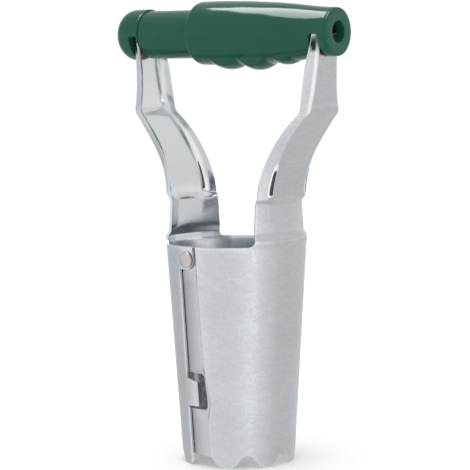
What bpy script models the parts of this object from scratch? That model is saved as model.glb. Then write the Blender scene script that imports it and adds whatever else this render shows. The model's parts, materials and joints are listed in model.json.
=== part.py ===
"""Bulb planter with a squeeze handle, as an assembly of separate pieces.

Two identical stamped steel halves, each half a toothed tube with its arm, turn
on two rivets. The arms end in the slots of a two-piece plastic handle with a
spring inside. Lengths are metres, +Z is up, X runs along the handle, and the
origin is on the ground under the middle of the whole planter.
"""

from math import atan, atan2, cos, pi, radians, sin, sqrt

import bmesh
import bpy
from mathutils import Matrix, Vector

# Steel halves: tube
SHEET_THICKNESS = 0.0012
MOUTH_RADIUS = 0.0287
RIM_RADIUS = 0.03585
RIM_HEIGHT = 0.1124
TOOTH_DEPTH = 0.0068
TIP_TRIM = 0.0004
TOOTH_TIP_WIDTH = 0.0070
TOOTH_ROOT_WIDTH = 0.0168
TEETH_PER_HALF = 4
TOOTH_PITCH_ANGLE = radians(42.5)
FIRST_TOOTH_ANGLE = radians(-67.5)

# Steel halves: seam between them, as angles from the middle of the arm
EDGE_ANGLE = radians(70.7)
JOGGLE_TOP_ANGLE = radians(-90.0)
JOGGLE_MOUTH_ANGLE = radians(-82.8)
JOGGLE_WIDTH = 0.0010
LAP_CLEARANCE = 0.0004
LAP_ANGLE = radians(35.2)
LAP_SPREAD = 0.0012
LAP_FOOT_MARGIN = 0.0002
LAP_FOOT_HEIGHT = TOOTH_DEPTH + LAP_FOOT_MARGIN

# Steel halves: ear at the rivet, and tab with its window
PIVOT_DROP = 0.0064
PIVOT_HEIGHT = RIM_HEIGHT - PIVOT_DROP
EAR_HEIGHT = 0.0114
EAR_REACH = 0.0102
TAB_REACH = 0.0070
TAB_HEIGHT = 0.0139
TAB_BASE_HEIGHT = 0.0312
TAB_HOOK_DEPTH = 0.0045
WINDOW_MARGIN_BELOW = 0.0016
WINDOW_MARGIN_ABOVE = 0.0031
WINDOW_TRAVEL = 0.0146

# Steel halves: arm
SHOULDER_STEP = 0.0010
ARM_ROOT_RADIUS = RIM_RADIUS - SHOULDER_STEP
ARM_ROOT_HALF_ANGLE = radians(40.2)
ARM_WAIST_HALF_ANGLE = radians(37.3)
SHOULDER_START = 0.0028
SHOULDER_HEIGHT = 0.0066
SHOULDER_BULGE = 0.0004
RIM_FILLET_RADIUS = 0.0026
WEB_BASE_RISE = 0.0236
WEB_BASE_HEIGHT = RIM_HEIGHT + WEB_BASE_RISE
WEB_INSET = 0.00275
WEB_BASE_REACH = ARM_ROOT_RADIUS - WEB_INSET
KINK_RISE = 0.0430
KINK_HEIGHT = WEB_BASE_HEIGHT + KINK_RISE
ARM_SWING = 0.0221
KINK_REACH = WEB_BASE_REACH + ARM_SWING
ARM_TOP_RISE = 0.0384
ARM_TOP_HEIGHT = KINK_HEIGHT + ARM_TOP_RISE
ARM_LEAN = 0.0033
ARM_TOP_REACH = KINK_REACH + ARM_LEAN
ARM_SWEEP_POWER = 1.8
WEB_HALF_WIDTH = 0.0155
FLANGE_DEPTH = 0.0054
FLANGE_SPLAY = 0.0052
CREASE_SETBACK = 0.0016
RIM_FILLET_ROW_SHARES = (0.12, 0.45, 1.0)
SHOULDER_ROW_SHARES = (0.3, 0.6)
# Each row: rise up the arm, then web width, flange depth and flange splay
ARM_STATION_SHARES = (
    (0.00, 1.00, 0.83, 1.00),
    (0.15, 0.96, 0.89, 0.73),
    (0.30, 0.99, 1.05, 0.31),
    (0.42, 1.00, 1.02, 0.10),
    (0.54, 0.90, 0.96, 0.15),
    (0.64, 0.73, 0.98, 0.46),
    (0.81, 0.62, 1.00, 0.50),
    (0.93, 0.59, 0.68, 0.46),
    (1.00, 0.58, 0.52, 0.42),
)

# Rivets
RIVET_SHANK_RADIUS = 0.0020
RIVET_HOLE_CLEARANCE = 0.0003
RIVET_HEAD_RADIUS = 0.0041
RIVET_HEAD_HEIGHT = 0.0016
RIVET_HEAD_EDGE = 0.0010
RIVET_TAIL_RADIUS = 0.0033
RIVET_TAIL_HEIGHT = 0.0011
RIVET_TAIL_TIP_SHARE = 0.6
# Each row: rise over the head's edge, then its radius
RIVET_DOME_SHARES = ((0.7, 0.72), (1.0, 0.30))

# Handle: shared sizes
HANDLE_AXIS_LIFT = 0.0010
HANDLE_AXIS_HEIGHT = ARM_TOP_HEIGHT + HANDLE_AXIS_LIFT
SLOT_WALL_GAP = 0.0005
SLOT_WALL_REACH = ARM_TOP_REACH + SLOT_WALL_GAP
SLOT_INNER_GAP = 0.00049
SLOT_TOP_WIDTH = SLOT_WALL_GAP + FLANGE_DEPTH * ARM_STATION_SHARES[-1][2] + SHEET_THICKNESS + SLOT_INNER_GAP
SLOT_FLARE = 0.0016
SLOT_MOUTH_WIDTH = SLOT_TOP_WIDTH + SLOT_FLARE
SLOT_TOP_CLEARANCE = 0.0003
SPRING_BORE_RADIUS = 0.0092
END_WALL = 0.0048
END_FACE_REACH = SLOT_WALL_REACH + END_WALL

# Handle: inner tube with its domed head
INNER_TUBE_RADIUS = 0.0124
HEAD_STEP = 0.0009
HEAD_RADIUS = INNER_TUBE_RADIUS + HEAD_STEP
HEAD_RIM_SETBACK = 0.0054
HEAD_RIM_REACH = SLOT_WALL_REACH - HEAD_RIM_SETBACK
HEAD_RIM_FILLET = 0.0008
DOME_WALL = 0.0020
DOME_START_REACH = SLOT_WALL_REACH + DOME_WALL
DOME_DEPTH = 0.0102
DOME_POWER = 2.4
INNER_TUBE_END = 0.0120
INNER_TUBE_CHAMFER = 0.0006

# Handle: outer grip
GRIP_START = -0.0207
GRIP_BORE_CLEARANCE = 0.00035
SLIDE_TRAVEL = 0.0166
SLIDE_END_CLEARANCE = 0.0007
GRIP_BORE_DEPTH = INNER_TUBE_END - GRIP_START + SLIDE_TRAVEL + SLIDE_END_CLEARANCE
GRIP_HOLE_RADIUS = 0.0055
GRIP_WALL = 0.00385
GRIP_RADIUS = INNER_TUBE_RADIUS + GRIP_BORE_CLEARANCE + GRIP_WALL
GRIP_EDGE_FILLET = 0.0030
GRIP_END_FILLET = 0.0008
# Each row: place along the grip, then its radius, seen from above
GRIP_OUTLINE_SHARES = (
    (0.00, 0.99),
    (0.15, 1.00),
    (0.36, 0.975),
    (0.60, 0.905),
    (0.72, 0.845),
    (0.84, 0.775),
    (0.92, 0.735),
    (1.00, 0.720),
)
# Each row: place along the grip, then its radius straight down between the ridges
GRIP_UNDERSIDE_SHARES = (
    (0.00, 0.948),
    (0.15, 0.958),
    (0.33, 0.946),
    (0.54, 0.922),
    (0.70, 0.858),
    (0.84, 0.765),
    (0.92, 0.730),
    (1.00, 0.720),
)
FIRST_RIDGE_PLACE = -0.0012
RIDGE_PITCH = 0.0176
RIDGE_RISES = (0.0023, 0.0030, 0.0013)
RIDGE_WIDTHS = (0.0151, 0.0154, 0.0104)
RIDGE_FLANK_ANGLE = radians(40)
RIDGE_CROWN_ANGLE = radians(30)

# Return spring
SPRING_WIRE_RADIUS = 0.0007
SPRING_SIDE_CLEARANCE = 0.0009
SPRING_COIL_RADIUS = SPRING_BORE_RADIUS - SPRING_SIDE_CLEARANCE - SPRING_WIRE_RADIUS
SPRING_TURNS = 17
SPRING_END_CLEARANCE = 0.0003

# Mesh fineness and the overrun shared by all cuts
WALL_STEP_ANGLE = radians(7.0)
SWEEP_STEPS = 9
LEAN_STEPS = 7
RIVET_SIDES = 20
HANDLE_SIDES = 36
GRIP_RING_SPACING = 0.0022
DOME_STEPS = 7
FILLET_STEPS = 3
SPRING_POINTS_PER_TURN = 8
CUT_OVERRUN = 0.0060
MILLIMETRE = 0.001

HALF_TURN = Matrix.Rotation(pi, 4, "Z")


# General helpers

def clear_scene():
    """Remove every object so the script starts from nothing."""
    for item in list(bpy.data.objects):
        bpy.data.objects.remove(item, do_unlink=True)


def make_material(name, colour, roughness, metallic):
    """Return a plain Principled material."""
    material = bpy.data.materials.new(name)
    material.use_nodes = True
    shader = material.node_tree.nodes["Principled BSDF"]
    shader.inputs["Base Color"].default_value = (*colour, 1.0)
    shader.inputs["Roughness"].default_value = roughness
    shader.inputs["Metallic"].default_value = metallic
    return material


def mesh_object(name, mesh, material, pivot, parent):
    """Link a mesh as an object whose origin lies at the pivot."""
    mesh.transform(Matrix.Translation(-pivot))
    item = bpy.data.objects.new(name, mesh)
    item.location = pivot
    item.parent = parent
    bpy.context.scene.collection.objects.link(item)
    if material:
        mesh.materials.append(material)
        mesh.shade_smooth()
        mesh.set_sharp_from_angle(angle=radians(35))
    return item


def finish_mesh(name, bm):
    """Turn a bmesh into a mesh with its faces pointing out."""
    bmesh.ops.recalc_face_normals(bm, faces=bm.faces)
    mesh = bpy.data.meshes.new(name)
    bm.to_mesh(mesh)
    bm.free()
    return mesh


def cut(item, cutter):
    """Subtract a hidden cutter from an object."""
    cutter.hide_render = True
    cutter.display_type = "WIRE"
    modifier = item.modifiers.new(cutter.name, "BOOLEAN")
    modifier.operation = "DIFFERENCE"
    modifier.solver = "EXACT"
    modifier.object = cutter


def mix(start, end, share):
    """Blend two values."""
    return start + (end - start) * share


def read_shares(table, place):
    """Read a table of shares, going straight from row to row."""
    for lower, upper in zip(table, table[1:]):
        if place <= upper[0]:
            break
    share = (place - lower[0]) / (upper[0] - lower[0])
    share = min(max(share, 0.0), 1.0)
    return [mix(low, high, share) for low, high in zip(lower[1:], upper[1:])]


# Steel halves: places on the outer face of the sheet

def wall_radius(height):
    """Outer radius of the tapered tube."""
    return mix(MOUTH_RADIUS, RIM_RADIUS, height / RIM_HEIGHT)


def polar(radius, angle, height):
    """Point at an angle from the middle of the arm, which lies at +X."""
    return Vector((radius * cos(angle), radius * sin(angle), height))


def joggle_angle(height):
    """Angle where the wall steps in to pass under the other half."""
    return mix(JOGGLE_MOUTH_ANGLE, JOGGLE_TOP_ANGLE, height / RIM_HEIGHT)


def lap_depth():
    """How far the lapped wall lies inside the open one."""
    return SHEET_THICKNESS + LAP_CLEARANCE


def pivot_angle():
    """Angle of the rivet on the strip, half way between edge and joggle."""
    return (EDGE_ANGLE - pi + joggle_angle(PIVOT_HEIGHT)) / 2


def arm_half_angle(height):
    """Half the angle that the arm spans where it is still round."""
    share = (height - RIM_HEIGHT) / (WEB_BASE_HEIGHT - RIM_HEIGHT)
    half = mix(ARM_ROOT_HALF_ANGLE, ARM_WAIST_HALF_ANGLE, share)
    rise = min((height - RIM_HEIGHT) / RIM_FILLET_RADIUS, 1.0)
    flare = RIM_FILLET_RADIUS * (1 - sqrt(1 - (1 - rise) ** 2))
    return half + flare / RIM_RADIUS


def arm_root_radius(height):
    """Outer radius of the arm's round root: a bulge, then a step inward."""
    rise = height - RIM_HEIGHT
    share = (rise - SHOULDER_START) / (SHOULDER_HEIGHT - SHOULDER_START)
    share = min(max(share, 0.0), 1.0)
    bulge = SHOULDER_BULGE * sin(pi / 2 * min(rise / SHOULDER_START, 1.0))
    smooth = share * share * (3 - 2 * share)
    return mix(RIM_RADIUS + bulge, ARM_ROOT_RADIUS, smooth)


def web_reach(height):
    """Distance of the web's outer face from the middle of the tube."""
    if height < KINK_HEIGHT:
        share = (height - WEB_BASE_HEIGHT) / (KINK_HEIGHT - WEB_BASE_HEIGHT)
        return mix(WEB_BASE_REACH, KINK_REACH, share ** ARM_SWEEP_POWER)
    share = (height - KINK_HEIGHT) / (ARM_TOP_HEIGHT - KINK_HEIGHT)
    return mix(KINK_REACH, ARM_TOP_REACH, share)


def web_section(height):
    """Half section of the pressed channel, from flange edge to middle."""
    rise = (height - WEB_BASE_HEIGHT) / (ARM_TOP_HEIGHT - WEB_BASE_HEIGHT)
    web, depth, splay = read_shares(ARM_STATION_SHARES, rise)
    reach = web_reach(height)
    crease = Vector((reach, web * WEB_HALF_WIDTH, height))
    edge = crease + Vector((-depth * FLANGE_DEPTH, splay * FLANGE_SPLAY, 0))
    bend_start = crease + (edge - crease).normalized() * CREASE_SETBACK
    bend_end = crease - Vector((0, CREASE_SETBACK, 0))
    bend_middle = bend_start / 4 + crease / 2 + bend_end / 4
    middle = Vector((reach, 0, height))
    return [edge, bend_start, bend_middle, bend_end, bend_end.lerp(middle, 0.5), middle]


def root_section(height):
    """Half section of the arm's round root, with as many points."""
    half = arm_half_angle(height)
    radius = arm_root_radius(height)
    angle_shares = (1.0, 0.70, 0.66, 0.61, 0.31, 0.0)
    return [polar(radius, half * share, height) for share in angle_shares]


def arm_section(height):
    """Full section of the arm, from its front edge to its rear edge."""
    section = web_section if height >= WEB_BASE_HEIGHT else root_section
    rear = section(height)
    front = [Vector((point.x, -point.y, point.z)) for point in rear[:-1]]
    return front + rear[::-1]


def arm_heights():
    """Heights of the arm's rows above the rim."""
    web_start = WEB_BASE_HEIGHT - SHEET_THICKNESS * 2
    shoulder = RIM_HEIGHT + SHOULDER_HEIGHT
    root = [RIM_HEIGHT + RIM_FILLET_RADIUS * share for share in RIM_FILLET_ROW_SHARES]
    root += [mix(RIM_HEIGHT + SHOULDER_START, shoulder, share) for share in SHOULDER_ROW_SHARES]
    root += [shoulder, mix(shoulder, web_start, 0.5), web_start]
    sweep = [mix(WEB_BASE_HEIGHT, KINK_HEIGHT, step / SWEEP_STEPS) for step in range(SWEEP_STEPS)]
    lean = [mix(KINK_HEIGHT, ARM_TOP_HEIGHT, step / LEAN_STEPS) for step in range(LEAN_STEPS + 1)]
    return root + sweep + lean


# Steel halves: the tube's columns, each a function of height

def lapped_column(share):
    """Column of the lap that runs on inside the other half."""
    def column(height):
        angle = EDGE_ANGLE - pi - LAP_ANGLE * share
        radius = wall_radius(height) - lap_depth() - LAP_SPREAD * share
        return polar(radius, angle, height)
    return column


def window_column(height):
    """Column at the window's hidden end, on the lap."""
    radius = wall_radius(height)
    reach = (WINDOW_TRAVEL - TAB_REACH) / radius
    spread = LAP_SPREAD * reach / LAP_ANGLE
    return polar(radius - lap_depth() - spread, EDGE_ANGLE - pi - reach, height)


def joggle_column(depth, offset):
    """Column at the joggle: its foot when deep, its crest when not."""
    def column(height):
        radius = wall_radius(height)
        return polar(radius - depth, joggle_angle(height) - offset / radius, height)
    return column


def wall_column(share, arm_side):
    """Column of the open wall between an edge of the half and its arm."""
    def column(height):
        outer = joggle_angle(height) if arm_side < 0 else EDGE_ANGLE
        angle = mix(outer, arm_side * arm_half_angle(RIM_HEIGHT), share)
        return polar(wall_radius(height), angle, height)
    return column


def under_arm_column(index):
    """Column of the wall straight below one of the arm's columns."""
    def column(height):
        point = arm_section(RIM_HEIGHT)[index]
        angle = atan2(point.y, point.x)
        return polar(wall_radius(height), angle, height)
    return column


def edge_column(reach, depth):
    """Column beyond the half's own edge, on the ear or the tab."""
    def column(height):
        radius = wall_radius(height)
        return polar(radius - depth, EDGE_ANGLE + reach / radius, height)
    return column


def wall_columns():
    """All columns around one half, each with the kind of strip after it."""
    arm_points = len(arm_section(RIM_HEIGHT))
    arm_half = arm_half_angle(RIM_HEIGHT)
    front_steps = round((abs(JOGGLE_TOP_ANGLE) - arm_half) / WALL_STEP_ANGLE)
    rear_steps = round((EDGE_ANGLE - arm_half) / WALL_STEP_ANGLE)
    columns = [(lapped_column(1.0), "lap"), (lapped_column(0.7), "lap"), (window_column, "window")]
    columns += [(lapped_column(0.0), "window")]
    columns += [(joggle_column(lap_depth(), JOGGLE_WIDTH), "lap")]
    columns += [(joggle_column(0, 0), "wall")]
    for step in range(1, front_steps):
        columns.append((wall_column(step / front_steps, -1), "wall"))
    for index in range(arm_points - 1):
        columns.append((under_arm_column(index), "arm"))
    columns.append((under_arm_column(arm_points - 1), "wall"))
    for step in range(1, rear_steps + 1):
        kind = "wall" if step < rear_steps else "edge"
        columns.append((wall_column(1 - step / rear_steps, 1), kind))
    return columns


def wall_heights():
    """Heights of the tube's rows, at every edge that they must meet."""
    return [
        -TIP_TRIM,
        LAP_FOOT_HEIGHT,
        TAB_BASE_HEIGHT - WINDOW_MARGIN_BELOW,
        TAB_BASE_HEIGHT,
        TAB_BASE_HEIGHT + TAB_HEIGHT,
        TAB_BASE_HEIGHT + TAB_HEIGHT + WINDOW_MARGIN_ABOVE,
        RIM_HEIGHT - EAR_HEIGHT,
        RIM_HEIGHT,
    ]


def strip_is_open(kind, row, heights):
    """Tell whether a strip has no sheet between a row and the next."""
    tab_row = heights.index(TAB_BASE_HEIGHT)
    if kind in ("lap", "window") and heights[row] < LAP_FOOT_HEIGHT:
        return True
    return kind == "window" and abs(row - tab_row) <= 1


def shell_surface():
    """Outer face of one half as an open sheet of quads."""
    bm = bmesh.new()
    columns = wall_columns()
    heights = wall_heights()
    points = {}

    def vertex(column, row):
        if (column, row) not in points:
            place = columns[column][0](heights[row])
            points[column, row] = bm.verts.new(place)
        return points[column, row]

    for column, (_, kind) in enumerate(columns[:-1]):
        for row in range(len(heights) - 1):
            if strip_is_open(kind, row, heights):
                continue
            bm.faces.new((
                vertex(column, row),
                vertex(column + 1, row),
                vertex(column + 1, row + 1),
                vertex(column, row + 1),
            ))
    last = len(columns) - 1
    tab_row = heights.index(TAB_BASE_HEIGHT)
    add_flap(bm, vertex, last, tab_row, heights, ((TAB_REACH, 0), (TAB_REACH, TAB_HOOK_DEPTH)))
    add_flap(bm, vertex, last, len(heights) - 2, heights, ((EAR_REACH, 0),))
    add_arm(bm, vertex, columns, len(heights) - 1)
    return finish_open_sheet(bm)


def add_flap(bm, vertex, edge, row, heights, folds):
    """Add the ear or the hooked tab beyond the half's own edge."""
    lower, upper = vertex(edge, row), vertex(edge, row + 1)
    for reach, depth in folds:
        column = edge_column(reach, depth)
        next_lower = bm.verts.new(column(heights[row]))
        next_upper = bm.verts.new(column(heights[row + 1]))
        bm.faces.new((lower, next_lower, next_upper, upper))
        lower, upper = next_lower, next_upper


def add_arm(bm, vertex, columns, rim_row):
    """Add the arm above the rim, row by row."""
    kinds = [kind for _, kind in columns]
    first = kinds.index("arm")
    count = kinds.count("arm") + 1
    below = [vertex(first + index, rim_row) for index in range(count)]
    for height in arm_heights():
        above = [bm.verts.new(point) for point in arm_section(height)]
        for index in range(count - 1):
            bm.faces.new((below[index], below[index + 1], above[index + 1], above[index]))
        below = above


def finish_open_sheet(bm):
    """Turn the open sheet into a mesh, its faces as they were made."""
    mesh = bpy.data.meshes.new("shell")
    bm.to_mesh(mesh)
    bm.free()
    return mesh


# Steel halves: cutters

def tooth_gap_cutter(parent):
    """One cutter for all the gaps between the teeth of a half."""
    bm = bmesh.new()
    pitch = TOOTH_PITCH_ANGLE * MOUTH_RADIUS
    foot = (pitch - TOOTH_TIP_WIDTH) / 2
    top = (pitch - TOOTH_ROOT_WIDTH) / 2
    slope = (foot - top) / TOOTH_DEPTH
    inner = MOUTH_RADIUS - SHEET_THICKNESS * 2 - CUT_OVERRUN / 2
    outer = MOUTH_RADIUS + CUT_OVERRUN / 2
    for gap in range(TEETH_PER_HALF + 1):
        angle = FIRST_TOOTH_ANGLE + TOOTH_PITCH_ANGLE * (gap - 0.5)
        turn = Matrix.Rotation(angle, 4, "Z")
        drop = foot + slope * CUT_OVERRUN
        outline = ((-drop, -CUT_OVERRUN), (drop, -CUT_OVERRUN), (top, TOOTH_DEPTH), (-top, TOOTH_DEPTH))
        rings = []
        for radius in (inner, outer):
            rings.append([bm.verts.new(turn @ Vector((radius, along, height))) for along, height in outline])
        bm.faces.new(rings[0])
        bm.faces.new(rings[1])
        for index in range(len(outline)):
            after = (index + 1) % len(outline)
            bm.faces.new((rings[0][index], rings[0][after], rings[1][after], rings[1][index]))
    mesh = finish_mesh("tooth_gaps", bm)
    return mesh_object("tooth_gap_cutter", mesh, None, Vector(), parent)


def ground_cutter(parent):
    """Slab that trims the tips of the teeth flat on the ground."""
    bm = bmesh.new()
    bmesh.ops.create_cube(bm, size=2 * RIM_RADIUS + CUT_OVERRUN)
    mesh = finish_mesh("ground", bm)
    drop = RIM_RADIUS + CUT_OVERRUN / 2
    mesh.transform(Matrix.Translation((0, 0, -drop)))
    return mesh_object("ground_cutter", mesh, None, Vector(), parent)


def rivet_hole_cutter(parent):
    """One long pin that cuts the holes on both sides of a half."""
    length = RIM_RADIUS * 2 + CUT_OVERRUN
    bm = bmesh.new()
    radius = RIVET_SHANK_RADIUS + RIVET_HOLE_CLEARANCE
    bmesh.ops.create_cone(
        bm,
        cap_ends=True,
        segments=RIVET_SIDES,
        radius1=radius,
        radius2=radius,
        depth=length,
    )
    mesh = finish_mesh("rivet_hole", bm)
    centre = Vector((0, 0, PIVOT_HEIGHT))
    turn = Matrix.Rotation(pivot_angle(), 4, "Z") @ Matrix.Rotation(pi / 2, 4, "Y")
    mesh.transform(Matrix.Translation(centre) @ turn)
    return mesh_object("rivet_hole_cutter", mesh, None, centre, parent)


def build_shell(name, turn, steel, cutters, parent):
    """One steel half, thickened inward and cut."""
    mesh = shell_surface()
    mesh.transform(turn)
    pivot = Vector((0, 0, PIVOT_HEIGHT))
    shell = mesh_object(name, mesh, steel, pivot, parent)
    thicken = shell.modifiers.new("thickness", "SOLIDIFY")
    thicken.thickness = SHEET_THICKNESS
    thicken.offset = -1
    thicken.use_even_offset = True
    for cutter in cutters:
        cut(shell, cutter)
    return shell


def turned_copy(item, turn):
    """Copy a cutter turned about the tube's middle."""
    mesh = item.data.copy()
    mesh.transform(turn)
    return mesh_object(item.name + "_turned", mesh, None, Vector(item.location), item.parent)


# Turned pieces

def add_ring(bm, radius_at, along, sides):
    """Ring of vertices about X, with a radius for each angle."""
    ring = []
    for side in range(sides):
        angle = 2 * pi * side / sides
        radius = radius_at(angle)
        ring.append(bm.verts.new((along, radius * sin(angle), radius * cos(angle))))
    return ring


def join_rings(bm, first, second):
    """Skin two rings of the same count."""
    for side in range(len(first)):
        after = (side + 1) % len(first)
        bm.faces.new((first[side], first[after], second[after], second[side]))


def turned_mesh(name, profile, sides):
    """Solid turned about X from a profile that starts and ends on the axis."""
    bm = bmesh.new()
    first = bm.verts.new((profile[0][0], 0, 0))
    last = bm.verts.new((profile[-1][0], 0, 0))
    rings = [add_ring(bm, lambda _, r=radius: r, along, sides) for along, radius in profile[1:-1]]
    for side in range(sides):
        after = (side + 1) % sides
        bm.faces.new((first, rings[0][side], rings[0][after]))
        bm.faces.new((last, rings[-1][after], rings[-1][side]))
    for before, behind in zip(rings, rings[1:]):
        join_rings(bm, before, behind)
    return finish_mesh(name, bm)


# Rivets

def lap_seat_radius():
    """Distance of the ear's outer face from the middle, at the rivet."""
    half = EAR_REACH / wall_radius(PIVOT_HEIGHT) / 2
    return wall_radius(PIVOT_HEIGHT) * cos(half)


def strip_inner_radius():
    """Distance of the strip's inner face from the middle, at the rivet."""
    half = (joggle_angle(PIVOT_HEIGHT) - EDGE_ANGLE + pi) / 2
    strip_radius = wall_radius(PIVOT_HEIGHT) - lap_depth()
    return strip_radius * cos(half) - SHEET_THICKNESS


def rivet_mesh():
    """Rivet with its origin on the ear's outer face and its head at +X."""
    seat = LAP_CLEARANCE
    inside = strip_inner_radius() - lap_seat_radius() - LAP_CLEARANCE
    head_top = seat + RIVET_HEAD_HEIGHT
    tail_end = inside - RIVET_TAIL_HEIGHT
    profile = [
        (tail_end, 0),
        (tail_end, RIVET_TAIL_RADIUS * RIVET_TAIL_TIP_SHARE),
        (mix(tail_end, inside, 0.5), RIVET_TAIL_RADIUS),
        (inside, RIVET_TAIL_RADIUS),
        (inside, RIVET_SHANK_RADIUS),
        (seat, RIVET_SHANK_RADIUS),
        (seat, RIVET_HEAD_RADIUS),
        (seat + RIVET_HEAD_EDGE, RIVET_HEAD_RADIUS),
    ]
    for rise, width in RIVET_DOME_SHARES:
        profile.append((mix(seat + RIVET_HEAD_EDGE, head_top, rise), RIVET_HEAD_RADIUS * width))
    profile.append((head_top, 0))
    return turned_mesh("rivet", profile, RIVET_SIDES)


def build_rivet(name, angle, steel, parent):
    """One rivet, square to the tapered wall that it holds."""
    mesh = rivet_mesh()
    taper = atan((RIM_RADIUS - MOUTH_RADIUS) / RIM_HEIGHT)
    seat = Vector((lap_seat_radius(), 0, PIVOT_HEIGHT))
    turn = Matrix.Rotation(angle, 4, "Z")
    mesh.transform(turn @ Matrix.Translation(seat) @ Matrix.Rotation(taper, 4, "Y"))
    return mesh_object(name, mesh, steel, turn @ seat, parent)


# Handle

def handle_frame():
    """Placement of the handle's own axis."""
    return Matrix.Translation(Vector((0, 0, HANDLE_AXIS_HEIGHT)))


def slot_cutter(name, side, parent):
    """Wedge that opens the handle from below for the end of an arm."""
    ceiling = ARM_TOP_HEIGHT + SLOT_TOP_CLEARANCE
    floor = HANDLE_AXIS_HEIGHT - GRIP_RADIUS - CUT_OVERRUN
    half_width = GRIP_RADIUS + CUT_OVERRUN
    mouth = HANDLE_AXIS_HEIGHT - HEAD_RADIUS
    slant = (SLOT_MOUTH_WIDTH - SLOT_TOP_WIDTH) / (ceiling - mouth)
    floor_width = SLOT_TOP_WIDTH + slant * (ceiling - floor)
    outline = (
        (SLOT_WALL_REACH, floor),
        (SLOT_WALL_REACH, ceiling),
        (SLOT_WALL_REACH - SLOT_TOP_WIDTH, ceiling),
        (SLOT_WALL_REACH - floor_width, floor),
    )
    bm = bmesh.new()
    face = bm.faces.new([bm.verts.new((side * x, -half_width, z)) for x, z in outline])
    swept = bmesh.ops.extrude_face_region(bm, geom=[face])
    moved = [item for item in swept["geom"] if isinstance(item, bmesh.types.BMVert)]
    bmesh.ops.translate(bm, verts=moved, vec=(0, half_width * 2, 0))
    mesh = finish_mesh(name, bm)
    return mesh_object(name, mesh, None, Vector(), parent)


def dome_profile():
    """Rounded end of the head, from its pole to its full radius."""
    points = []
    for step in range(DOME_STEPS + 1):
        turn = pi / 2 * (1 - step / DOME_STEPS)
        depth = DOME_DEPTH * sin(turn) ** (2 / DOME_POWER)
        radius = HEAD_RADIUS * cos(turn) ** (2 / DOME_POWER)
        points.append((-DOME_START_REACH - depth, radius if step else 0.0))
    return points


def inner_tube_profile():
    """Profile of the domed head, the sliding tube and the spring's bore."""
    profile = dome_profile()
    profile += [
        (-HEAD_RIM_REACH - HEAD_RIM_FILLET, HEAD_RADIUS),
        (-HEAD_RIM_REACH, HEAD_RADIUS - HEAD_RIM_FILLET / 2),
        (-HEAD_RIM_REACH, INNER_TUBE_RADIUS),
        (INNER_TUBE_END - INNER_TUBE_CHAMFER, INNER_TUBE_RADIUS),
        (INNER_TUBE_END, INNER_TUBE_RADIUS - INNER_TUBE_CHAMFER),
        (INNER_TUBE_END, SPRING_BORE_RADIUS),
        (-SLOT_WALL_REACH, SPRING_BORE_RADIUS),
        (-SLOT_WALL_REACH, 0),
    ]
    return profile


def build_inner_tube(plastic, parent):
    """Head and tube that slide into the grip."""
    mesh = turned_mesh("inner_tube", inner_tube_profile(), HANDLE_SIDES)
    mesh.transform(handle_frame())
    pivot = Vector((-SLOT_WALL_REACH, 0, ARM_TOP_HEIGHT))
    tube = mesh_object("handle_tube", mesh, plastic, pivot, parent)
    cut(tube, slot_cutter("tube_slot_cutter", -1, parent))
    return tube


def grip_fillet_drop(along):
    """How far the rounded start of the grip lies inside its full radius."""
    missing = 1 - min((along - GRIP_START) / GRIP_EDGE_FILLET, 1.0)
    return GRIP_EDGE_FILLET * (1 - sqrt(1 - missing ** 2))


def grip_radius_from(table, along):
    """Radius of the grip from one of its tables of shares."""
    share = (along - GRIP_START) / (END_FACE_REACH - GRIP_START)
    return GRIP_RADIUS * read_shares(table, share)[0] - grip_fillet_drop(along)


def ridge_rise(along):
    """How far the finger ridges stand out from the underside."""
    rise = 0.0
    for index, (crown, width) in enumerate(zip(RIDGE_RISES, RIDGE_WIDTHS)):
        share = (along - FIRST_RIDGE_PLACE - RIDGE_PITCH * index) / (width / 2)
        rise += crown * max(1 - share ** 2, 0.0)
    return rise


def grip_radius_at(along):
    """Radius of the grip at a place along it, for each angle from the top."""
    top = grip_radius_from(GRIP_OUTLINE_SHARES, along)
    under = grip_radius_from(GRIP_UNDERSIDE_SHARES, along)
    rise = ridge_rise(along)

    def radius(angle):
        down = max(-cos(angle), 0.0)
        flank = (down - cos(RIDGE_FLANK_ANGLE)) / (cos(RIDGE_CROWN_ANGLE) - cos(RIDGE_FLANK_ANGLE))
        return mix(top, under, down) + rise * min(max(flank, 0.0), 1.0)
    return radius


def grip_ring_places():
    """Places of the grip's outer rings, closer at its rounded start."""
    fillet = [GRIP_START + GRIP_EDGE_FILLET * (1 - cos(pi / 2 * step / FILLET_STEPS))
              for step in range(FILLET_STEPS)]
    body_start = GRIP_START + GRIP_EDGE_FILLET
    body_end = END_FACE_REACH - GRIP_END_FILLET
    count = round((body_end - body_start) / GRIP_RING_SPACING)
    body = [mix(body_start, body_end, step / count) for step in range(count + 1)]
    return fillet + body


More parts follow.
